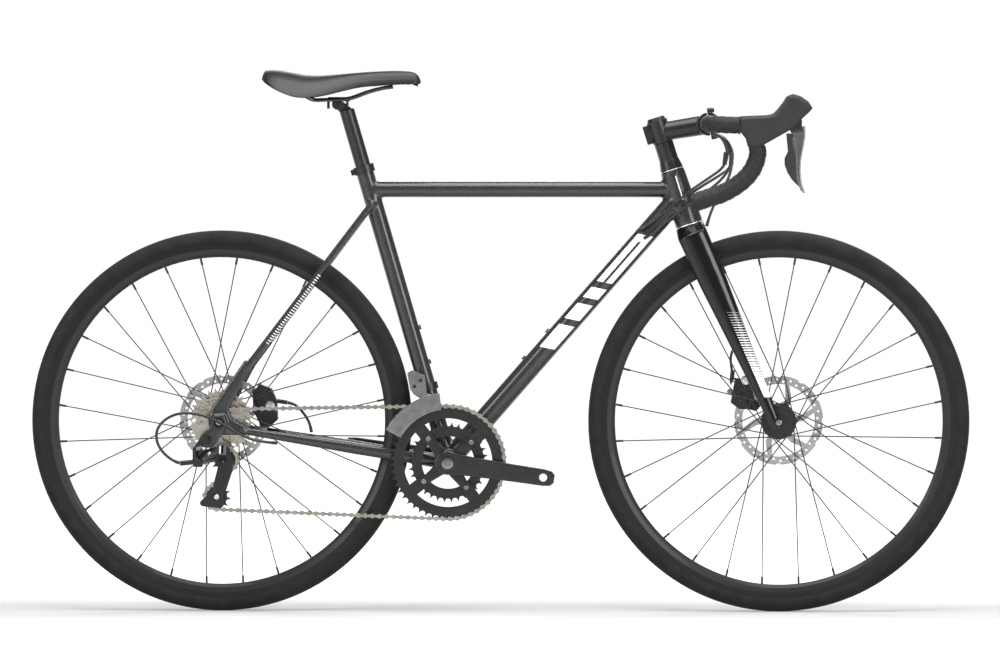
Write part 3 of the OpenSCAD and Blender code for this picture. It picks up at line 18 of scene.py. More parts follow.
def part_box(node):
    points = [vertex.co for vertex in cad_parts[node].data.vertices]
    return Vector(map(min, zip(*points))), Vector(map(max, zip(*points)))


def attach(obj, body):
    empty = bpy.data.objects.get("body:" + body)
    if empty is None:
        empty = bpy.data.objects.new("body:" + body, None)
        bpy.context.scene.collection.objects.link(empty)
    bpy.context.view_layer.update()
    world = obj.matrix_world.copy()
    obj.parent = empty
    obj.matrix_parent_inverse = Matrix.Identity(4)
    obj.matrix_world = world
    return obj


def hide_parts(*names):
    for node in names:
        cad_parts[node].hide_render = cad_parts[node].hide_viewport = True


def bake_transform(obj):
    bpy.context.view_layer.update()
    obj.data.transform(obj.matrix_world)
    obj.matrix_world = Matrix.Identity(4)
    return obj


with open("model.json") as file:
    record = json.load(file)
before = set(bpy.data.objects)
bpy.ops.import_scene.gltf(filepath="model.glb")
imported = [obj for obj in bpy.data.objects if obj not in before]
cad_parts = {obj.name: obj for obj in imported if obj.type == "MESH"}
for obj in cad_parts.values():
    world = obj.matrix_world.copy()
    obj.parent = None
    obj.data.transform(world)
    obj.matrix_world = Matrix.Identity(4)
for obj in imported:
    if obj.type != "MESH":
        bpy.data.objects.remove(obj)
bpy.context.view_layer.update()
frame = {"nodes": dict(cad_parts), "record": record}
nodes = frame["nodes"]
body_of_node = {node: body for body, listed in frame["record"]["behaviour"]["bodies"].items()
                for node in listed}
slot_of_node = {s["node"]: s["material_slot"] for s in frame["record"]["subparts"]}

# %% [markdown]
# A long lens far away keeps both wheels round, as in a catalogue view. The camera stands
# at the drive side, a little ahead of the middle and above the axles.

# %% Camera
camera_data = bpy.data.cameras.new("camera")
camera_data.lens = 281.6
camera_data.clip_end = 60
camera = bpy.data.objects.new("camera", camera_data)
bpy.context.scene.collection.objects.link(camera)
camera.location = (0.42, -14.0, 0.88)
aim = Vector((0.0, 0.0, 0.4975)) - camera.location
camera.rotation_euler = aim.to_track_quat("-Z", "Y").to_euler()
bpy.context.scene.camera = camera
print("camera", round(aim.length, 2), "m away")

# %% [markdown]
# Axes and centres come from the frame's own boxes, so that nothing here is fitted by eye.
# Only tube ends, which no box shows, repeat the lengths of the CAD source, in metres.

# %% Places that several pieces share
def middle(node):
    low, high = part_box(node)
    return (Vector(low) + Vector(high)) / 2

front_c = middle("front_tyre")
rear_c = middle("rear_tyre")
bb_c = middle("bb_shell")
wheel_r = (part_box("front_tyre")[1][2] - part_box("front_tyre")[0][2]) / 2
head_lean, seat_lean = math.radians(17.5), math.radians(16.2)
fork_offset, bb_drop = 0.047, 0.073
head_foot = Vector((front_c.x - fork_offset * math.cos(head_lean), 0,
                    wheel_r - fork_offset * math.sin(head_lean)))
head_dir = Vector((-math.sin(head_lean), 0, math.cos(head_lean)))
seat_dir = Vector((-math.sin(seat_lean), 0, math.cos(seat_lean)))

def head_at(s):
    return head_foot + s * head_dir

def seat_at(s):
    return bb_c + s * seat_dir

print("axles", [round(v, 4) for v in (*front_c, *rear_c)], "bottom bracket", tuple(bb_c))

# %% [markdown]
# Shader maths reads best as plain arithmetic. `Field` wraps one socket, and its operators
# add Math nodes. `Finish` holds one material, and its `add` method makes any other node.

# %% Shader arithmetic
class Field:
    """A socket that can be added, scaled and compared like a number."""
    def __init__(self, finish, socket):
        self.finish, self.socket = finish, socket
    def _op(self, operation, *values, clamp=False):
        return self.finish.add("ShaderNodeMath", {"operation": operation, "use_clamp": clamp},
                               dict(enumerate(values)))
    def __add__(self, other): return self._op("ADD", self, other)
    __radd__ = __add__
    def __sub__(self, other): return self._op("SUBTRACT", self, other)
    def __rsub__(self, other): return self._op("SUBTRACT", other, self)
    def __mul__(self, other): return self._op("MULTIPLY", self, other)
    __rmul__ = __mul__
    def __truediv__(self, other): return self._op("DIVIDE", self, other)
    def __pow__(self, other): return self._op("POWER", self, other)
    def abs(self): return self._op("ABSOLUTE", self)
    def fract(self): return self._op("FRACT", self)
    def sqrt(self): return self._op("SQRT", self)
    def atan(self, other): return self._op("ARCTAN2", self, other)
    def most(self, other): return self._op("MAXIMUM", self, other)
    def ramp(self, low, high):
        """0 below low, 1 above high, straight between them; low may be the larger one."""
        return self._op("MULTIPLY", self - low, 1 / (high - low), clamp=True)
    def within(self, low, high, edge):
        return self.ramp(low - edge, low + edge) * self.ramp(high + edge, high - edge)


class Finish:
    """One Principled material with helpers for its textures."""
    def __init__(self, name, colour, roughness, metallic=0.0, coat=0.0, coat_roughness=0.05,
                 specular=0.5, sheen=0.0):
        self.material = bpy.data.materials.new(name)
        self.material.use_nodes = True
        self.tree = self.material.node_tree
        self.shader = self.tree.nodes["Principled BSDF"]
        for socket, value in (("Base Color", (*colour, 1.0)), ("Roughness", roughness),
                              ("Metallic", metallic), ("Coat Weight", coat),
                              ("Coat Roughness", coat_roughness), ("Specular IOR Level", specular),
                              ("Sheen Weight", sheen)):
            self.shader.inputs[socket].default_value = value
        self.place = self.add("ShaderNodeTexCoord", {}, {}, "Object")
        split = self.tree.nodes.new("ShaderNodeSeparateXYZ")
        self.tree.links.new(self.place.socket, split.inputs[0])
        self.x, self.y, self.z = (Field(self, split.outputs[i]) for i in range(3))
    def add(self, kind, settings, values, output=0):
        node = self.tree.nodes.new(kind)
        for key, value in settings.items():
            setattr(node, key, value)
        for key, value in values.items():
            if isinstance(value, Field):
                self.tree.links.new(value.socket, node.inputs[key])
            else:
                node.inputs[key].default_value = value
        return Field(self, node.outputs[output])
    def vector(self, x, y, z):
        return self.add("ShaderNodeCombineXYZ", {}, {0: x, 1: y, 2: z})
    def noise(self, scale, detail=2.0, at=None):
        return self.add("ShaderNodeTexNoise", {}, {"Vector": at or self.place, "Scale": scale,
                                                   "Detail": detail})
    def cells(self, scale, output="Distance"):
        return self.add("ShaderNodeTexVoronoi", {}, {"Vector": self.place, "Scale": scale}, output)
    def mix(self, share, a, b):
        a, b = ((*v, 1.0) if isinstance(v, tuple) and len(v) == 3 else v for v in (a, b))
        return self.add("ShaderNodeMix", {"data_type": "RGBA"}, {0: share, 6: a, 7: b}, 2)
    def wear(self, colour, light, scale, spread):
        """Mixes a second colour in by slow, broken noise."""
        return self.mix((self.noise(scale, 4.0) - 0.5) * spread + 0.5, colour, light)
    def use(self, **values):
        names = {"colour": "Base Color", "roughness": "Roughness", "metallic": "Metallic"}
        for key, value in values.items():
            self.tree.links.new(value.socket, self.shader.inputs[names[key]])
        return self
    def bump(self, height, distance, strength=1.0):
        normal = self.add("ShaderNodeBump", {}, {"Strength": strength, "Distance": distance,
                                                 "Height": height}, "Normal")
        self.tree.links.new(normal.socket, self.shader.inputs["Normal"])
        return self

finishes = {}

# %% [markdown]
# The frame is a dark metallic enamel under clear lacquer. Fine cells stand for the flakes,
# slow noise for the depth of the coat, and plain white blocks stand for its graphics.

# %% Frame paint with plain white blocks
down_start, down_angle = bb_c + Vector((0, 0, 0.002)), math.radians(48.9)
stay_start, stay_angle = Vector((-0.2654, 0, 0.682)), math.radians(52.9 + 180)
white_blocks = ((0.268, 0.322), (0.336, 0.372), (0.386, 0.410), (0.424, 0.536))

def along_across(f, start, angle):
    """Way along a line of the side view, and distance above it."""
    c, s = math.cos(angle), math.sin(angle)
    dx, dz = f.x - start.x, f.z - start.z
    return dx * c + dz * s, dz * c - dx * s

def frame_paint():
    f = Finish("frame_enamel", (0.05, 0.055, 0.055), 0.34, 0.55, 0.5, 0.07, 0.4)
    flakes = f.cells(2600.0, "Color")
    light = f.add("ShaderNodeSeparateColor", {}, {0: flakes}, 0)
    tone = f.noise(9.0, 3.0)
    base = f.mix(light ** 3.0, (0.008, 0.009, 0.0088), (0.100, 0.105, 0.100))
    base = f.mix(tone.ramp(0.3, 0.7) * 0.35, base, (0.014, 0.0155, 0.0155))
    along, above = along_across(f, down_start, down_angle)
    slanted = along + above * 0.55
    side = f.y.abs().ramp(0.0075, 0.0085) * above.abs().ramp(0.0125, 0.0118)
    bars = 0
    for low, high in white_blocks:
        bars = slanted.within(low, high, 0.0004) + bars
    stripe = above.within(-0.0022, 0.0022, 0.0003) * slanted.within(0.424, 0.520, 0.0004)
    white = bars * side * (1 - stripe)
    stay_line, stay_off = along_across(f, stay_start, stay_angle)
    hatch = ((stay_line * 1000 / 5.2).fract()).ramp(0.62, 0.66)
    fade = stay_line.within(0.095, 0.250, 0.002) * (f.noise(300.0, 2.0) + 0.35).ramp(0.3, 0.6)
    stays = hatch * fade * stay_off.ramp(0.0004, 0.0010) * stay_off.ramp(0.012, 0.011)
    stays = stays * f.y.abs().ramp(0.022, 0.024)
    neck_way, neck_off = along_across(f, head_foot, math.pi / 2 + head_lean)
    line = neck_way.within(0.430, 0.474, 0.0005) * (neck_off + 0.003).abs().ramp(0.0013, 0.0010)
    white = white.most(stays).most(line * f.y.abs().ramp(0.012, 0.013))
    f.use(colour=f.mix(white, base, (0.80, 0.81, 0.80)),
          roughness=0.30 + f.noise(500.0, 2.0) * 0.10, metallic=0.55 - white * 0.55)
    return f.bump(f.noise(1400.0, 2.0), 0.00004, 0.35)

finishes["frame_paint"] = frame_paint()

# %% [markdown]
# The fork is deep gloss black. White hatching grows into a solid block towards the
# dropouts, on the leading half of each blade.

# %% Fork paint with hatching
blade_top, blade_foot = head_at(0.365), front_c + Vector((-0.002, 0, -0.012))

def fork_paint():
    f = Finish("fork_enamel", (0.004, 0.004, 0.004), 0.16, 0.0, 0.25, 0.03, 0.25)
    share = (f.z - blade_foot.z) / (blade_top.z - blade_foot.z)
    centre = share * (blade_top.x - blade_foot.x) + blade_foot.x
    ahead = f.x - centre
    growth = f.z.ramp(0.545, 0.400)
    lines = (f.z * 1000 / 4.4).fract() - (1 - growth)
    zone = f.z.within(0.386, 0.540, 0.001) * ahead.ramp(0.0005, 0.0012)
    white = lines.ramp(-0.02, 0.02) * zone * f.y.abs().ramp(0.030, 0.032)
    dark = f.mix(f.noise(12.0, 3.0), (0.002, 0.002, 0.002), (0.005, 0.005, 0.005))
    f.use(colour=f.mix(white, dark, (0.80, 0.80, 0.79)),
          roughness=0.13 + f.noise(350.0, 2.0) * 0.08)
    return f.bump(f.noise(900.0, 1.0), 0.00003, 0.3)

finishes["fork_paint"] = fork_paint()

# %% [markdown]
# Most small metal parts share one recipe: a body colour broken by slow noise, a fine
# grain that moves the roughness, and a shallow bump from the same grain.

# %% Metals, plastics and rubbers
def metal(name, dark, light, roughness, metallic=1.0):
    f = Finish(name, dark, roughness, metallic)
    speck = f.noise(900.0, 3.0)
    f.use(colour=f.wear(dark, light, 70.0, 1.4), roughness=speck * 0.14 + (roughness - 0.07))
    return f.bump(speck, 0.00002, 0.5)

def moulded(name, dark, light, roughness, pattern, depth, specular=0.5, sheen=0.0):
    f = Finish(name, dark, roughness, 0.0, 0.0, 0.05, specular, sheen)
    grain = f.cells(pattern)
    f.use(colour=f.wear(dark, light, 90.0, 1.2),
          roughness=f.noise(240.0, 3.0) * 0.16 + (roughness - 0.08))
    return f.bump(grain, depth, 0.6)

finishes["black_alloy"] = metal("black_anodised", (0.008, 0.008, 0.009), (0.019, 0.019, 0.020),
                                0.32, 0.3)
finishes["grey_alloy"] = metal("grey_anodised", (0.15, 0.155, 0.16), (0.30, 0.31, 0.32), 0.24)
finishes["crank_alloy"] = metal("crank_satin", (0.012, 0.0125, 0.013), (0.026, 0.027, 0.0285),
                                0.24, 0.4)
finishes["chainrings"] = metal("ring_anodised", (0.008, 0.008, 0.009), (0.020, 0.020, 0.021),
                               0.26, 0.3)
finishes["rail_steel"] = metal("rail_satin", (0.035, 0.035, 0.036), (0.075, 0.075, 0.077), 0.28)
finishes["chain_steel"] = metal("chain_plating", (0.22, 0.205, 0.18), (0.46, 0.43, 0.38), 0.26)
finishes["bright"] = metal("bright_steel", (0.52, 0.53, 0.54), (0.78, 0.79, 0.80), 0.22)
finishes["spoke"] = metal("spoke_black", (0.015, 0.015, 0.016), (0.03, 0.03, 0.03), 0.30, 0.5)
finishes["hood_rubber"] = moulded("hood_rubber", (0.007, 0.0082, 0.0078), (0.015, 0.017, 0.0162),
                                  0.58, 1300.0, 0.00012, 0.35, 0.05)
finishes["black_plastic"] = moulded("black_plastic", (0.007, 0.007, 0.0075),
                                    (0.015, 0.015, 0.016), 0.42, 2200.0, 0.00003)
finishes["housing"] = moulded("housing_black", (0.006, 0.006, 0.007), (0.012, 0.012, 0.013),
                              0.28, 1500.0, 0.00002)
finishes["tape"] = moulded("bar_tape_cork", (0.005, 0.005, 0.005), (0.012, 0.012, 0.0125),
                           0.60, 1500.0, 0.00018, 0.3, 0.03)
finishes["saddle_cover"] = moulded("saddle_cover", (0.0045, 0.0048, 0.005),
                                   (0.010, 0.0104, 0.0108), 0.36, 1100.0, 0.00010, 0.32)

# %% [markdown]
# Brake rotors and cogs are ground flat while they turn, so their grain runs in circles.
# The same polar coordinates carry the tyre's tread and the two tones of the rim.

# %% Finishes that turn about an axle
def polar(f, centre):
    dx, dz = f.x - centre.x, f.z - centre.z
    return (dx * dx + dz * dz).sqrt(), dz.atan(dx)

def turned_steel(name, centre, dark, light, roughness):
    f = Finish(name, light, roughness, 1.0)
    radius, angle = polar(f, centre)
    rings = f.noise(1.0, 4.0, f.vector(radius * 2600, angle * 1.5, f.y * 40))
    f.use(colour=f.mix(rings.ramp(0.3, 0.7), dark, light),
          roughness=rings * 0.22 + (roughness - 0.1))
    return f.bump(rings, 0.00003, 0.6)

def tyre_rubber(name, centre):
    f = Finish(name, (0.01, 0.01, 0.01), 0.72, 0.0, 0.0, 0.05, 0.22, 0.0)
    radius, angle = polar(f, centre)
    across = f.y.abs()
    way = angle * wheel_r * 1000
    tread = across.ramp(0.0105, 0.0095)
    file_cut = ((way + across * 1400) / 3.2).fract().within(0.0, 0.42, 0.06)
    ribs = (radius * 1000 / 1.1).fract().within(0.0, 0.35, 0.1) * across.ramp(0.0112, 0.0120)
    dust = f.noise(45.0, 5.0)
    colour = f.mix(dust.ramp(0.35, 0.75), (0.007, 0.007, 0.007), (0.016, 0.016, 0.0155))
    colour = f.mix(tread * 0.45, colour, (0.022, 0.022, 0.0215))
    height = file_cut * tread * 0.5 + ribs * 0.2 + f.noise(1500.0, 2.0) * 0.3
    f.use(colour=colour, roughness=0.62 + dust * 0.2)
    return f.bump(height, 0.00035, 0.7)

def rim_lacquer(name, centre):
    f = Finish(name, (0.01, 0.01, 0.01), 0.3, 0.1, 0.08, 0.08, 0.3)
    radius, angle = polar(f, centre)
    side = radius.ramp(0.3072, 0.3078)
    speck = f.noise(1200.0, 3.0)
    colour = f.mix(side, (0.012, 0.012, 0.013), (0.005, 0.005, 0.0055))
    f.use(colour=colour, roughness=speck * 0.1 + 0.36 - side * 0.10)
    return f.bump(speck, 0.00002, 0.4)

# %% [markdown]
# Every carried-over node starts with the finish of its record slot. Pieces that are
# rebuilt below take theirs from the same table.

# %% Dress every node
for end, centre in (("front", front_c), ("rear", rear_c)):
    finishes[end + "_tyre"] = tyre_rubber(end + "_tyre_rubber", centre)
    finishes[end + "_rim"] = rim_lacquer(end + "_rim_lacquer", centre)
    finishes[end + "_rotor"] = turned_steel(end + "_rotor_steel", centre, (0.26, 0.26, 0.26),
                                            (0.58, 0.58, 0.575), 0.26)
finishes["cassette"] = turned_steel("cassette_steel", rear_c, (0.26, 0.24, 0.205),
                                    (0.64, 0.60, 0.53), 0.26)

finishes["lever_alloy"] = metal("lever_satin", (0.13, 0.132, 0.136), (0.24, 0.244, 0.25), 0.20, 0.9)
finishes["brake_lever_right"] = finishes["brake_lever_left"] = finishes["lever_alloy"]

def finish_of(node):
    return (finishes.get(node) or finishes[slot_of_node[node]]).material

for name, node in nodes.items():
    node.data.materials.clear()
    node.data.materials.append(finish_of(name))
print("finishes:", len(finishes))

# %% [markdown]
# Soft studio light comes from a wide panel above, one at each side and a pale room. The
# floor is plain, and it also glows: painted light, faint near the bicycle and strong farther
# off, so that the far floor is white and only the tyres' contact shadows show on it.

# %% Floor and lights
def mesh_object(name, vertices, faces, smooth=True):
    mesh = bpy.data.meshes.new(name)
    mesh.from_pydata([tuple(v) for v in vertices], [], [tuple(f) for f in faces])
    mesh.validate()
    for polygon in mesh.polygons:
        polygon.use_smooth = smooth
    item = bpy.data.objects.new(name, mesh)
    bpy.context.scene.collection.objects.link(item)
    return item

floor_finish = Finish("studio_floor", (0.44, 0.44, 0.44), 0.75, specular=0.0)
# The floor's glow is painted light: faint near the bicycle, strong farther from it.
floor_finish.shader.inputs["Emission Strength"].default_value = 1.0
far = floor_finish.y.abs().ramp(0.15, 0.9)
painted_floor_glow = floor_finish.mix(far, (0.13, 0.13, 0.13), (0.90, 0.90, 0.90))
floor_finish.tree.links.new(painted_floor_glow.socket, floor_finish.shader.inputs["Emission Color"])
floor_finish.use(roughness=floor_finish.noise(3.0) * 0.1 + 0.7)
reach = 30
floor = mesh_object("floor", [(-reach, -reach, 0), (reach, -reach, 0), (reach, reach, 0),
                              (-reach, reach, 0)], [(0, 1, 2, 3)])
floor.data.materials.append(floor_finish.material)

def panel(name, place, aim_at, size, power):
    data = bpy.data.lights.new(name, "AREA")
    data.shape, data.size, data.size_y, data.energy = "RECTANGLE", size[0], size[1], power
    lamp = bpy.data.objects.new(name, data)
    bpy.context.scene.collection.objects.link(lamp)
    lamp.location = place
    lamp.rotation_euler = (Vector(aim_at) - Vector(place)).to_track_quat("-Z", "Y").to_euler()

panel("panel_above", (0.2, -0.6, 3.2), (0, 0, 0.4), (3.4, 2.2), 150)
panel("panel_front", (2.6, -3.0, 1.6), (0.1, 0, 0.5), (1.6, 2.0), 80)
panel("panel_rear", (-2.8, -2.6, 1.7), (-0.1, 0, 0.5), (1.4, 2.0), 60)
panel("panel_back", (0.3, 3.2, 2.2), (0, 0, 0.5), (3.0, 1.6), 70)

world = bpy.data.worlds.new("studio")
world.use_nodes = True
room = world.node_tree.nodes["Background"]
sight = world.node_tree.nodes.new("ShaderNodeLightPath")
level = world.node_tree.nodes.new("ShaderNodeMapRange")
light_strength, seen_strength = 0.34, 1.0
level.inputs["To Min"].default_value = light_strength
level.inputs["To Max"].default_value = seen_strength
world.node_tree.links.new(sight.outputs["Is Camera Ray"], level.inputs["Value"])
world.node_tree.links.new(level.outputs[0], room.inputs["Strength"])
room.inputs["Color"].default_value = (1, 1, 1, 1)
bpy.context.scene.world = world
bpy.context.scene.view_settings.view_transform = "Standard"

# %% [markdown]
# Three small tools do most of the shaping. `tube` sweeps a ring along a path, `loose_parts`
# splits a copied node into its solids, and `rounded` remeshes a solid into fine cubes and
# relaxes it, which gives cast and moulded edges where a bevel would tear loose triangles.

# %% Mesh tools
def smooth_path(points, steps):
    p = [Vector(q) for q in points]
    path = []
    for i in range(len(p) - 1):
        a, b, c, d = p[max(i - 1, 0)], p[i], p[i + 1], p[min(i + 2, len(p) - 1)]
        for u in (k / steps for k in range(steps)):
            path.append(0.5 * (2 * b + (c - a) * u + (2 * a - 5 * b + 4 * c - d) * u * u
                               + (3 * b - a - 3 * c + d) * u ** 3))
    return path + [p[-1]]

def tube(name, path, radius, sides=16):
    """A closed tube; radius is a number or a function of way and angle."""
    path = [Vector(p) for p in path]
    normal, way, rings = Vector((0, 0.1, 1)), 0.0, []
    for i, point in enumerate(path):
        tangent = (path[min(i + 1, len(path) - 1)] - path[max(i - 1, 0)]).normalized()
        normal = (normal - normal.dot(tangent) * tangent).normalized()
        side = tangent.cross(normal)
        way += (point - path[i - 1]).length if i else 0.0
        for k in range(sides):
            angle = 2 * math.pi * k / sides
            r = radius(way, angle) if callable(radius) else radius
            rings.append(point + r * math.cos(angle) * normal + r * math.sin(angle) * side)
    faces = [(i * sides + k, i * sides + (k + 1) % sides, (i + 1) * sides + (k + 1) % sides,
              (i + 1) * sides + k) for i in range(len(path) - 1) for k in range(sides)]
    faces += [tuple(range(sides))[::-1], tuple(range((len(path) - 1) * sides, len(path) * sides))]
    return mesh_object(name, rings, [face[::-1] for face in faces])

def rod(name, start, end, radius, end_radius=None, sides=48):
    start, end = Vector(start), Vector(end)
    length = (end - start).length
    taper = (radius if end_radius is None else end_radius) - radius
    return tube(name, [start, end], lambda way, angle: radius + taper * way / length, sides)

def joined(name, *items):
    """One object from several, in the order given."""
    mesh = bmesh.new()
    for item in items:
        mesh.from_mesh(item.data)
        bpy.data.objects.remove(item)
    data = bpy.data.meshes.new(name)
    mesh.to_mesh(data)
    mesh.free()
    item = bpy.data.objects.new(name, data)
    bpy.context.scene.collection.objects.link(item)
    return item

def settled(item):
    """Live modifiers become plain mesh."""
    depsgraph = bpy.context.evaluated_depsgraph_get()
    mesh = bpy.data.meshes.new_from_object(item.evaluated_get(depsgraph))
    item.modifiers.clear()
    item.data = mesh
    return item

def rounded(item, voxel, passes):
    remesh = item.modifiers.new("cubes", "REMESH")
    remesh.mode, remesh.voxel_size, remesh.use_smooth_shade = "VOXEL", voxel, True
    relax = item.modifiers.new("relax", "SMOOTH")
    relax.factor, relax.iterations = 0.5, passes
    settled(item)
    for polygon in item.data.polygons:
        polygon.use_smooth = True
    return item

def node_copy(node, name):
    mesh = bmesh.new()
    mesh.from_mesh(nodes[node].data)
    bmesh.ops.remove_doubles(mesh, verts=mesh.verts, dist=2e-6)
    data = bpy.data.meshes.new(name)
    mesh.to_mesh(data)
    mesh.free()
    item = bpy.data.objects.new(name, data)
    bpy.context.scene.collection.objects.link(item)
    return item

def loose_parts(node, name):
    """Each unconnected solid of a node as its own object, largest box first."""
    whole = node_copy(node, name)
    mesh = bmesh.new()
    mesh.from_mesh(whole.data)
    bpy.data.objects.remove(whole)
    found, seen = [], set()
    for start in mesh.verts:
        if start.index in seen:
            continue
        seen.add(start.index)
        group, front = [start], [start]
        while front:
            nearby = [e.other_vert(v) for v in front for e in v.link_edges]
            front = []
            for v in nearby:
                if v.index not in seen:
                    seen.add(v.index)
                    front.append(v)
            group += front
        index = {v.index: i for i, v in enumerate(group)}
        faces = {f for v in group for f in v.link_faces}
        found.append(([v.co.copy() for v in group],
                      [[index[v.index] for v in f.verts] for f in faces]))
    mesh.free()
    def size(part):
        spread = [max(v[i] for v in part[0]) - min(v[i] for v in part[0]) for i in range(3)]
        return -math.hypot(*spread)
    found.sort(key=size)
    return [mesh_object(f"{name}_{i + 1}", *part, smooth=False) for i, part in enumerate(found)]

def centre_of(item):
    corners = [Vector(c) for c in item.bound_box]
    return sum(corners, Vector()) / 8

def stand_in(item, *replaced, finish=None, hide=True):
    """Gives a new piece its finish and body, and hides the nodes it stands for."""
    item.data.materials.clear()
    item.data.materials.append(finishes[finish].material if finish else finish_of(replaced[0]))
    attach(item, body_of_node[replaced[0]])
    if hide:
        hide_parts(*replaced)
    return item

def shade_by_angle(item, degrees):
    """Smooth shading that stops at sharp edges."""
    mesh = bmesh.new()
    mesh.from_mesh(item.data)
    limit = math.radians(degrees)
    for face in mesh.faces:
        face.smooth = True
    for edge in mesh.edges:
        edge.smooth = len(edge.link_faces) == 2 and edge.calc_face_angle(4.0) < limit
    mesh.to_mesh(item.data)
    mesh.free()
    return item

# %% [markdown]
# The frame is one welded piece. Its tubes are drawn again as solid rods on the same axes,
# melted together with the dropouts, and relaxed, so that a fillet runs round each joint.
# The bores for post and steerer are cut afterwards.

# %% Welded frame
top_z = 0.7558
top_rear = seat_at((top_z - bb_c.z) / math.cos(seat_lean))
top_front = head_at((top_z - head_foot.z) / math.cos(head_lean))
slope = math.tan(down_angle)
down_s = ((down_start.z + slope * (head_foot.x - down_start.x) - head_foot.z)
          / (math.cos(head_lean) + slope * math.sin(head_lean)))
down_end = head_at(down_s)
head_low, head_top = 0.383, 0.486
seat_tube_end, seat_tube_r, post_hole_r = 0.549, 0.0159, 0.0138
top_tube_r, down_tube_r, steerer_hole_r = 0.0147, 0.01905, 0.0170
shell_half, shell_r, seatstay_r = 0.034, 0.021, 0.0065

def oval_tube(name, sections, sides=32):
    """Sections of centre, height and width, across the X axis."""
    rings = [(x, y + w / 2 * math.sin(a), z + h / 2 * math.cos(a)) for (x, y, z), h, w in sections
             for a in (2 * math.pi * k / sides for k in range(sides))]
    count = len(sections)
    faces = [(i * sides + k, i * sides + (k + 1) % sides, (i + 1) * sides + (k + 1) % sides,
              (i + 1) * sides + k) for i in range(count - 1) for k in range(sides)]
    faces += [tuple(range(sides))[::-1], tuple(range((count - 1) * sides, count * sides))]
    return mesh_object(name, rings, faces)

def cut(item, tool):
    knife = item.modifiers.new("cut", "BOOLEAN")
    knife.operation, knife.solver, knife.object = "DIFFERENCE", "EXACT", tool
    settled(item)
    bpy.data.objects.remove(tool)
    return item

frame_pieces = [
    rod("seat", seat_at(0), seat_at(seat_tube_end), seat_tube_r),
    rod("top", top_rear, top_front, top_tube_r),
    rod("down", down_start, down_end, down_tube_r),
    rod("head", head_at(head_low), head_at(head_top), 0.025, 0.0215),
    rod("shell", bb_c - Vector((0, shell_half, 0)), bb_c + Vector((0, shell_half, 0)), shell_r),
    node_copy("rear_dropouts", "dropouts")]
for side in (-1, 1):
    stay_front = bb_c + Vector((-0.006, side * 0.020, -0.001))
    stay_rear = rear_c + Vector((0.032, side * 0.071, -0.014))
    stay_middle = stay_front.lerp(stay_rear, 0.45) + Vector((0, side * 0.001, 0))
    frame_pieces.append(oval_tube("chainstay", [(stay_front, 0.024, 0.015),
                                                (stay_middle, 0.0216, 0.016),
                                                (stay_rear, 0.013, 0.011)]))
    stay_low = rear_c + Vector((0.050, side * 0.072, 0.098))
    frame_pieces.append(rod("seatstay", stay_low, seat_at(0.484) + Vector((0, side * 0.015, 0)),
                            seatstay_r))
for piece in frame_pieces:
    checked = bmesh.new()
    checked.from_mesh(piece.data)
    bmesh.ops.recalc_face_normals(checked, faces=checked.faces)
    checked.to_mesh(piece.data)
    checked.free()
frame_cube, frame_passes = ((0.0018, 22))
weldment = rounded(joined("frame_weldment", *frame_pieces), frame_cube, frame_passes)
cut(weldment, rod("post_bore", seat_at(0.024), seat_at(0.60), post_hole_r))
cut(weldment, rod("steerer_bore", head_at(head_low - 0.02), head_at(head_top + 0.02),
                  steerer_hole_r))
stand_in(weldment, "head_tube", "top_tube", "down_tube", "seat_tube", "bb_shell", "chainstays",
         "seatstays", "rear_dropouts")
print("frame faces:", len(weldment.data.polygons))

# %% [markdown]
# Bar tape is one long strip wound with overlap. A saw-tooth that climbs along the bar and
# turns with the angle gives that overlap its real edges, so it is modelled and not painted.

# %% Wound bar tape
stem_len, stem_rise = 0.088, math.radians(9.3)
bar_c = head_at(0.5573) + stem_len * Vector((math.cos(stem_rise), 0, math.sin(stem_rise)))

def resampled(path, step):
    """The same path in equal steps."""
    ways = np.cumsum([0.0] + [(b - a).length for a, b in zip(path, path[1:])])
    fresh = np.linspace(0, ways[-1], max(3, round(ways[-1] / step)))
    columns = [np.interp(fresh, ways, [p[i] for p in path]) for i in range(3)]
    return [Vector(p) for p in zip(*columns)]

bar_points = [(0, -92, 0), (0, 40 - 210, 0), (4, 22 - 210, 0), (16, 8 - 210, -0.5),
              (34, 1 - 210, -1.5), (58, -210, -3), (72, -210, -12), (82, -210, -26),
              (87, -211, -43), (86, -212, -61), (76, -214, -84), (56, -216, -105),
              (26, -217, -123), (-7, -218, -134), (-24, -218, -140)]
bar_path = smooth_path([bar_c + Vector(p) / 1000 for p in bar_points], 30)

wrap_pitch, wrap_r, lap_height = 0.0150, 0.0143, 0.0011

def wrap(way, angle):
    lap = (way / wrap_pitch + angle / (2 * math.pi)) % 1.0
    pucker = 0.00012 * math.sin(angle * 5 + way * 900)
    return wrap_r + lap_height * lap ** 0.7 + pucker

def mirrored(item, name):
    """A copy on the other side of the centre plane."""
    twin = bpy.data.objects.new(name, item.data.copy())
    bpy.context.scene.collection.objects.link(twin)
    twin.data.transform(Matrix.Scale(-1, 4, (0, 1, 0)))
    twin.data.flip_normals()
    return twin

tape_step = 0.0011
top_wrap, drop_wrap = (20, 156), (236, 420)
wraps = [tube(f"wrap_{first}", resampled(bar_path[first:last + 1], tape_step), wrap, 28)
         for first, last in (top_wrap, drop_wrap)]
end_dir = (bar_path[-1] - bar_path[-3]).normalized()
plug = tube("bar_plug", [bar_path[-1] + end_dir * s for s in (0.0001, 0.0015, 0.003, 0.004)],
            lambda way, angle: 0.0145 - 360 * max(0.0, way - 0.001) ** 2, 40)
wraps.append(plug)
right_tape = joined("right_tape", *wraps)
bar_wrap = joined("bar_tape_wound", right_tape, mirrored(right_tape, "left_tape"))
stand_in(bar_wrap, "bar_tape", finish="tape")
print("tape faces:", len(bar_wrap.data.polygons))

# %% [markdown]
# The saddle is foam under a stretched cover. Rings from nose to tail carry its crown, and
# each ring closes round a thin rounded edge. A shallow valley marks the seam of the cover.

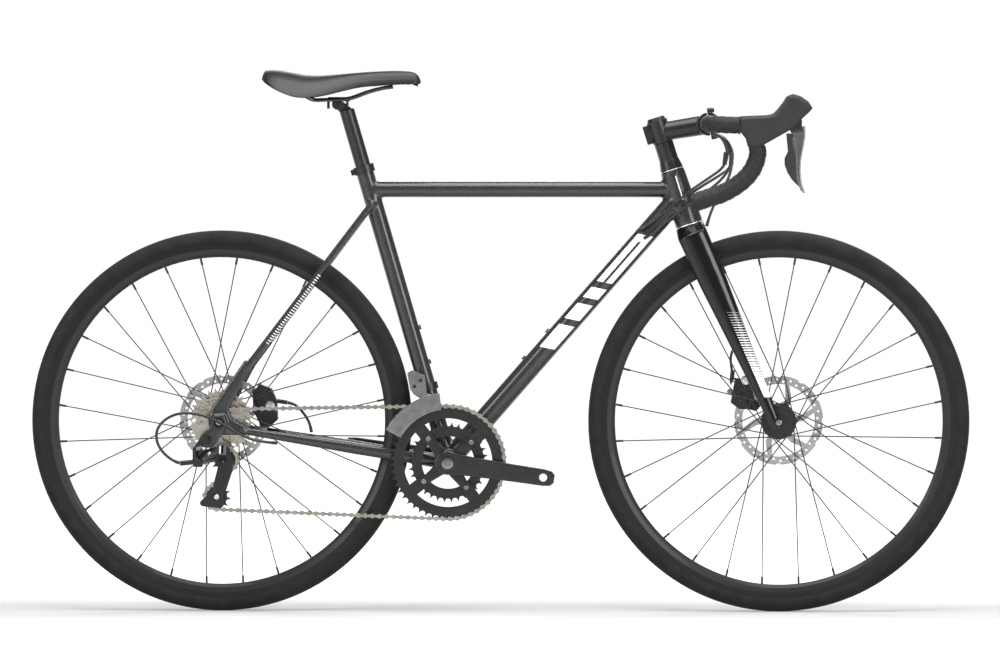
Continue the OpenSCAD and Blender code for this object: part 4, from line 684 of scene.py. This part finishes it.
# %% Saddle
saddle_len, saddle_w = 0.283, 0.146
saddle_c = Vector((-0.2905, 0, 0.91595))
saddle_steps = [(0, .45, 47, 39), (.03, .72, 54, 31), (.1, .93, 54.5, 19), (.2, 1, 50, 8),
                (.28, .97, 46, 6), (.38, .78, 45, 10), (.5, .54, 47, 18), (.62, .37, 49.5, 25),
                (.75, .3, 51.5, 28), (.87, .27, 52, 30), (.95, .24, 50, 31), (.985, .18, 44, 31),
                (1, .1, 38, 33)]
saddle_steps = smooth_path([Vector(q) for q in saddle_steps], 8)

def saddle_ring(q, count=44):
    share, half, crown, edge = q
    end = min(1.0, min(share, 1 - share) / 0.02)
    plump = math.sqrt(max(0.0, 1 - (1 - end) ** 2)) * 0.94 + 0.06
    ring = []
    for k in range(2 * count):
        t = math.pi * k / count
        u = -math.cos(t)
        skin = crown - (crown - edge) * abs(u) ** 2.6
        deep = 13 - 8 * u * u
        swell = max(0.0, 1 - abs(u) ** 9) ** 0.5 * plump * deep / 2
        seam = 0.55 * math.exp(-((abs(u) - 0.80) / 0.022) ** 2) if 0.06 < share < 0.97 else 0.0
        z = skin - deep / 2 + (swell - seam if t < math.pi else -swell)
        ring.append((saddle_c.x + (share - 0.475) * saddle_len, u * half * saddle_w / 2,
                     saddle_c.z + z / 1000))
    return ring

rings = [saddle_ring(q) for q in saddle_steps]
around = len(rings[0])
vertices = [p for ring in rings for p in ring]
faces = [(i * around + k, (i + 1) * around + k, (i + 1) * around + (k + 1) % around,
          i * around + (k + 1) % around) for i in range(len(rings) - 1) for k in range(around)]
faces += [tuple(range(around)), tuple(range(len(vertices) - around, len(vertices)))[::-1]]
cushion = mesh_object("saddle_cushion", vertices, faces)

def outward(item):
    mesh = bmesh.new()
    mesh.from_mesh(item.data)
    bmesh.ops.remove_doubles(mesh, verts=mesh.verts, dist=1e-6)
    bmesh.ops.recalc_face_normals(mesh, faces=mesh.faces)
    mesh.to_mesh(item.data)
    mesh.free()
    return item

outward(cushion)
stand_in(cushion, "saddle_pad", finish="saddle_cover")

# %% [markdown]
# Cable housing keeps its diameter and bends slowly, so smooth tubes on the CAD routes
# stand for it. The runs to the down tube are plain tubes between their two ends.

# %% Cable housings
ferrule_len, ferrule_swell = 0.012, 1.16

def housing(name, points, radius=0.0025):
    """A tube through points in millimetres."""
    path = resampled(smooth_path([Vector(p) / 1000 for p in points], 8), 0.003)
    total = sum((b - a).length for a, b in zip(path, path[1:]))
    def thick(way, angle):
        """The housing, with a wider ferrule at each end."""
        return radius * (ferrule_swell if min(way, total - way) < ferrule_len else 1.0)
    return outward(tube(name, path, thick, 14))

steered = {
    "shift_housing_right": [(380, -70, 856), (396, -72, 848), (405, -69, 830), (406, -64, 811),
                            (396, -56, 793), (376, -46, 778), (350, -38, 760), (322, -32, 738),
                            (296, -27, 716), (272, -22.5, 697), (252, -17.7, 683)],
    "shift_housing_left": [(380, 70, 856), (400, 70, 848), (413, 65, 830), (416, 56, 811),
                           (410, 46, 794), (392, 37, 780), (366, 32, 764), (336, 31, 744),
                           (306, 28, 722), (280, 23.5, 702), (258, 19.2, 686)],
    "rear_brake_housing": [(380, -90, 856), (400, -95, 846), (412, -90, 818), (410, -74, 794),
                           (392, -58, 770), (362, -44, 746), (330, -37, 722), (300, -31, 700),
                           (276, -25.5, 680), (258, -21.8, 668)]}
front_brake = housing("front_brake_housing",
                      [(380, 88, 856), (402, 92, 846), (415, 84, 818), (412, 64, 786),
                       (400, 44, 758), (386, 28, 734), (376, 18, 710), (370, 12, 690)])
stand_in(front_brake, "steering_housings", finish="housing")
for name, points in steered.items():
    run = housing(name, points)
    run.data.materials.append(finishes["housing"].material)
    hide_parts("steering_housings")
    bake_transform(run)
for name, start, end in (("barrel_right", (404.5, -67, 822), (402, -60.5, 801)),
                         ("barrel_left", (414.5, 60, 820), (413.5, 50.5, 800))):
    start, end = Vector(start) / 1000, Vector(end) / 1000
    barrel = tube(name, resampled([start, end], 0.0004),
                  lambda way, angle: 0.0040 + 0.00022 * math.cos(16 * angle), 64)
    stand_in(outward(barrel), "steering_housings", finish="black_plastic", hide=False)
    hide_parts("steering_housings")
fixed = [housing("loop", [(-396, -61, 303), (-422, -67, 306), (-450, -79, 314), (-484, -92, 334),
                          (-517, -96, 350), (-545, -96, 357), (-572, -95, 356), (-595, -94, 345),
                          (-608, -93, 328), (-609, -92, 308), (-600, -91, 290), (-585, -90, 276),
                          (-569, -89, 268)]),
         housing("stay", [(-384.5, 64.2, 371), (-370, 65, 366), (-356, 62, 352),
                          (-346, 58, 336), (-341, 55, 318)])]
stand_in(joined("frame_cable_housings", *fixed), "frame_housings", finish="housing")
print("housings:", len(steered) + 3)

# %% [markdown]
# A chain is one pair of links, repeated. The rollers of the CAD chain give each pin's
# place, and a Geometry Nodes tree sets outer and inner links between them by turns.

# %% Chain
parts_of_chain = loose_parts("chain", "roller")
roller_size = 0.02
centres = [centre_of(part) for part in parts_of_chain if part.dimensions.length < roller_size]
for part in parts_of_chain:
    bpy.data.objects.remove(part)
order = [centres.pop(0)]
while centres:
    nearest = min(range(len(centres)), key=lambda i: (centres[i] - order[-1]).length)
    order.append(centres.pop(nearest))
pitch, plate_r = 0.0127, 0.0042

def plate_outline(waist):
    points = []
    for k in range(40):
        t = 2 * math.pi * k / 40
        c, s = math.cos(t), math.sin(t)
        x = c * (pitch / 2 + plate_r)
        way = min(1.0, abs(x) / (pitch / 2))
        half = plate_r * (waist + (1 - waist) * way ** 2)
        if abs(x) > pitch / 2:
            half = math.sqrt(max(1e-9, plate_r ** 2 - (abs(x) - pitch / 2) ** 2))
        points.append((x, half * (1 if s >= 0 else -1) * (1 if abs(s) > 1e-6 else 0)))
    return points

def plate(name, y0, y1):
    outline = plate_outline(0.5)
    n = len(outline)
    vertices = [(x, y, z) for y in (y0, y1) for x, z in outline]
    faces = [tuple(range(n)), tuple(range(n, 2 * n))[::-1]]
    faces += [(k, n + k, n + (k + 1) % n, (k + 1) % n) for k in range(n)]
    return outward(mesh_object(name, vertices, faces, smooth=False))

def pin(name, x, radius, half):
    return rod(name, (x, -half, 0), (x, half, 0), radius, sides=16)

outer_link = joined("outer_link", plate("a", 0.0026, 0.0034), plate("b", -0.0034, -0.0026),
                    *(pin("p", x, 0.0019, 0.0036) for x in (-pitch / 2, pitch / 2)))
inner_link = joined("inner_link", plate("a", 0.0016, 0.0024), plate("b", -0.0024, -0.0016),
                    *(pin("r", x, 0.0038, 0.0015) for x in (-pitch / 2, pitch / 2)))
for link in (outer_link, inner_link):
    shade_by_angle(link, 40)
    link.hide_render = link.hide_viewport = True

middles, turns, outers = [], [], []
for i, here in enumerate(order):
    beyond = order[(i + 1) % len(order)]
    way = beyond - here
    middles.append((here + beyond) / 2)
    turns.append((0.0, -math.atan2(way.z, way.x), math.atan2(way.y, math.hypot(way.x, way.z))))
    outers.append(i % 2 == 1)
chain = mesh_object("chain_links", middles, [])
turn = chain.data.attributes.new("turn", "FLOAT_VECTOR", "POINT")
turn.data.foreach_set("vector", [v for t in turns for v in t])
kind = chain.data.attributes.new("outer", "BOOLEAN", "POINT")
kind.data.foreach_set("value", outers)

def link_tree():
    tree = bpy.data.node_groups.new("link_layout", "GeometryNodeTree")
    tree.interface.new_socket("Geometry", in_out="INPUT", socket_type="NodeSocketGeometry")
    for name in ("Outer link", "Inner link"):
        tree.interface.new_socket(name, in_out="INPUT", socket_type="NodeSocketObject")
    tree.interface.new_socket("Finish", in_out="INPUT", socket_type="NodeSocketMaterial")
    tree.interface.new_socket("Geometry", in_out="OUTPUT", socket_type="NodeSocketGeometry")
    def add(kind, **settings):
        node = tree.nodes.new(kind)
        for key, value in settings.items():
            setattr(node, key, value)
        return node
    source, out = add("NodeGroupInput"), add("NodeGroupOutput")
    turned = add("GeometryNodeInputNamedAttribute", data_type="FLOAT_VECTOR")
    turned.inputs["Name"].default_value = "turn"
    euler = add("FunctionNodeEulerToRotation")
    tree.links.new(turned.outputs["Attribute"], euler.inputs[0])
    is_outer = add("GeometryNodeInputNamedAttribute", data_type="BOOLEAN")
    is_outer.inputs["Name"].default_value = "outer"
    flip = add("FunctionNodeBooleanMath", operation="NOT")
    tree.links.new(is_outer.outputs["Attribute"], flip.inputs[0])
    join = add("GeometryNodeJoinGeometry")
    for name, chosen in (("Outer link", is_outer.outputs["Attribute"]),
                         ("Inner link", flip.outputs[0])):
        info = add("GeometryNodeObjectInfo")
        place = add("GeometryNodeInstanceOnPoints")
        tree.links.new(source.outputs[name], info.inputs[0])
        tree.links.new(source.outputs["Geometry"], place.inputs["Points"])
        tree.links.new(chosen, place.inputs["Selection"])
        tree.links.new(info.outputs["Geometry"], place.inputs["Instance"])
        tree.links.new(euler.outputs[0], place.inputs["Rotation"])
        tree.links.new(place.outputs[0], join.inputs[0])
    real, paint = add("GeometryNodeRealizeInstances"), add("GeometryNodeSetMaterial")
    tree.links.new(join.outputs[0], real.inputs[0])
    tree.links.new(real.outputs[0], paint.inputs["Geometry"])
    tree.links.new(source.outputs["Finish"], paint.inputs["Material"])
    tree.links.new(paint.outputs[0], out.inputs[0])
    return tree

layout = link_tree()
links = chain.modifiers.new("links", "NODES")
links.node_group = layout
chosen = {"Outer link": outer_link, "Inner link": inner_link,
          "Finish": finishes["chain_steel"].material}
for socket in layout.interface.items_tree:
    if socket.in_out == "INPUT" and socket.name in chosen:
        links[socket.identifier] = chosen[socket.name]
settled(chain)
stand_in(chain, "chain", finish="chain_steel")
for link in (outer_link, inner_link):
    bpy.data.objects.remove(link)
print("chain:", len(order), "links,", len(chain.data.polygons), "faces")

# %% [markdown]
# Forged, cast and moulded parts have no sharp edges. Each is remeshed in cubes of about
# half a millimetre to a millimetre and relaxed, with more passes where the part is softer.

# %% Rounded parts
softened = {"fork": (1.5, 10), "hoods": (1.1, 22), "lever_brackets": (1.0, 5),
            "brake_lever_right": (0.7, 22), "brake_lever_left": (0.7, 22),
            "shift_paddle_right": (0.5, 10), "shift_paddle_left": (0.5, 10),
            "lever_pivot_right": (0.6, 6), "lever_pivot_left": (0.6, 6),
            "stem": (0.8, 14), "stem_faceplate": (0.6, 8), "cranks": (1.05, 10),
            "seatpost": (0.9, 6), "front_caliper": (0.6, 7), "rear_caliper": (0.6, 7),
            "front_caliper_arm": (0.5, 6), "rear_caliper_arm": (0.5, 6),
            "derailleur_knuckle": (0.5, 6), "derailleur_arm": (0.5, 6),
            "derailleur_cage": (0.5, 3), "front_derailleur_cage": (0.5, 3),
            "front_derailleur_clamp": (0.5, 5), "saddle_shell": (1.0, 8), "spacers": (0.5, 4)}
coarser = 1.0
for node, (cube, passes) in softened.items():
    stand_in(rounded(node_copy(node, node + "_soft"), cube * coarser / 1000, passes), node)
print("rounded:", len(softened))

# %% [markdown]
# Caps, bolts and bands are small, but they catch the light where the eye looks for them.
# Each cap and bolt is dropped onto the surface below it by a ray, so that it seats without
# measuring; the bands are set on the head tube's axis.

# %% Caps, bolts and bands
def landed(node, origin, way):
    """Where a ray first meets a node."""
    mesh = bmesh.new()
    mesh.from_mesh(nodes[node].data)
    tree = BVHTree.FromBMesh(mesh)
    mesh.free()
    return tree.ray_cast(Vector(origin), Vector(way).normalized())[0]

def cap(name, node, at, way, radius, height=0.0014, socket=0.5, sides=40):
    """A round head with a chamfer and a dished socket, standing on the node."""
    hit = landed(node, Vector(at) - Vector(way) * 0.3, way)
    way = Vector(way).normalized()
    stations = [(0.0008, 1.0), (-height * 0.7, 1.0), (-height, 0.86), (-height, socket),
                (-height * 0.2, socket * 0.9), (-height * 0.2, 0.02)]
    path = [hit + way * s for s, r in stations]
    side = way.orthogonal().normalized()
    other = way.cross(side)
    points = [p + (side * math.cos(a) + other * math.sin(a)) * radius * r
              for p, (s, r) in zip(path, stations)
              for a in (2 * math.pi * k / sides for k in range(sides))]
    faces = [(i * sides + k, i * sides + (k + 1) % sides, (i + 1) * sides + (k + 1) % sides,
              (i + 1) * sides + k) for i in range(len(stations) - 1) for k in range(sides)]
    faces += [tuple(range(sides)), tuple(range(len(points) - sides, len(points)))]
    return shade_by_angle(outward(mesh_object(name, points, faces)), 30)

right, left = (0, 1, 0), (0, -1, 0)
bolt_circle_r = 0.055
caps = {
    "crank_caps": ("cranks", "grey_alloy", [("cranks", bb_c, right, 0.0100, 0.0012, 0.55),
                                            ("cranks", bb_c, left, 0.0100, 0.0012, 0.55)]),
    "ring_bolts": ("cranks", "grey_alloy", [
        ("cranks", bb_c + bolt_circle_r * Vector((math.cos(a), 0, math.sin(a))), right,
         0.0042, 0.0012, 0.6)
        for a in (math.radians(41 + 88.5 * i) for i in range(4))]),
    "pulley_bolts": ("derailleur_cage", "bright", [
        ("derailleur_cage", (-0.4895, 0, 0.273), right, 0.0045, 0.0014, 0.5),
        ("derailleur_cage", (-0.504, 0, 0.207), right, 0.0045, 0.0014, 0.5)]),
    "link_pins": ("derailleur_link_outer", "bright", [
        ("derailleur_link_outer", middle("derailleur_link_outer"), right, 0.0032, 0.0010, 0.5)]),
    "front_pad_knob": ("front_caliper", "bright", [
        ("front_caliper", middle("front_caliper"), right, 0.0085, 0.0016, 0.45)]),
    "rear_pad_knob": ("rear_caliper", "bright", [
        ("rear_caliper", middle("rear_caliper"), right, 0.0085, 0.0016, 0.45)]),
    "front_axle_cap": ("front_axle", "grey_alloy", [
        ("front_axle", front_c, right, 0.0052, 0.0010, 0.6)]),
    "rear_axle_cap": ("rear_axle", "grey_alloy", [
        ("rear_axle", rear_c, right, 0.0052, 0.0010, 0.6)])}
for name, (node, finish, listed) in caps.items():
    made = [cap(f"{name}_{i}", *spot) for i, spot in enumerate(listed)]
    stand_in(joined(name, *made), node, finish=finish, hide=False)

band_bore_r = 0.0172

def band(name, low, high, radius, node, finish):
    start, end = head_at(low), head_at(high)
    height = high - low
    def edge(way, angle):
        """The band, with a small chamfer at both ends."""
        return radius - (0.0004 if way < 1e-5 or way > height - 1e-5 else 0)
    ring = tube(name, [start.lerp(end, u) for u in (0, 0.15, 0.85, 1)], edge, 64)
    cut(outward(ring), rod("band_bore", head_at(low - 0.01), head_at(high + 0.01), band_bore_r))
    stand_in(ring, node, finish=finish, hide=False)

band("upper_headset_band", head_top - 0.0004, head_top + 0.0012, 0.0222, "head_tube", "bright")
band("lower_headset_band", head_low - 0.0002, head_low + 0.0022, 0.0256, "head_tube", "bright")
print("caps:", len(caps))
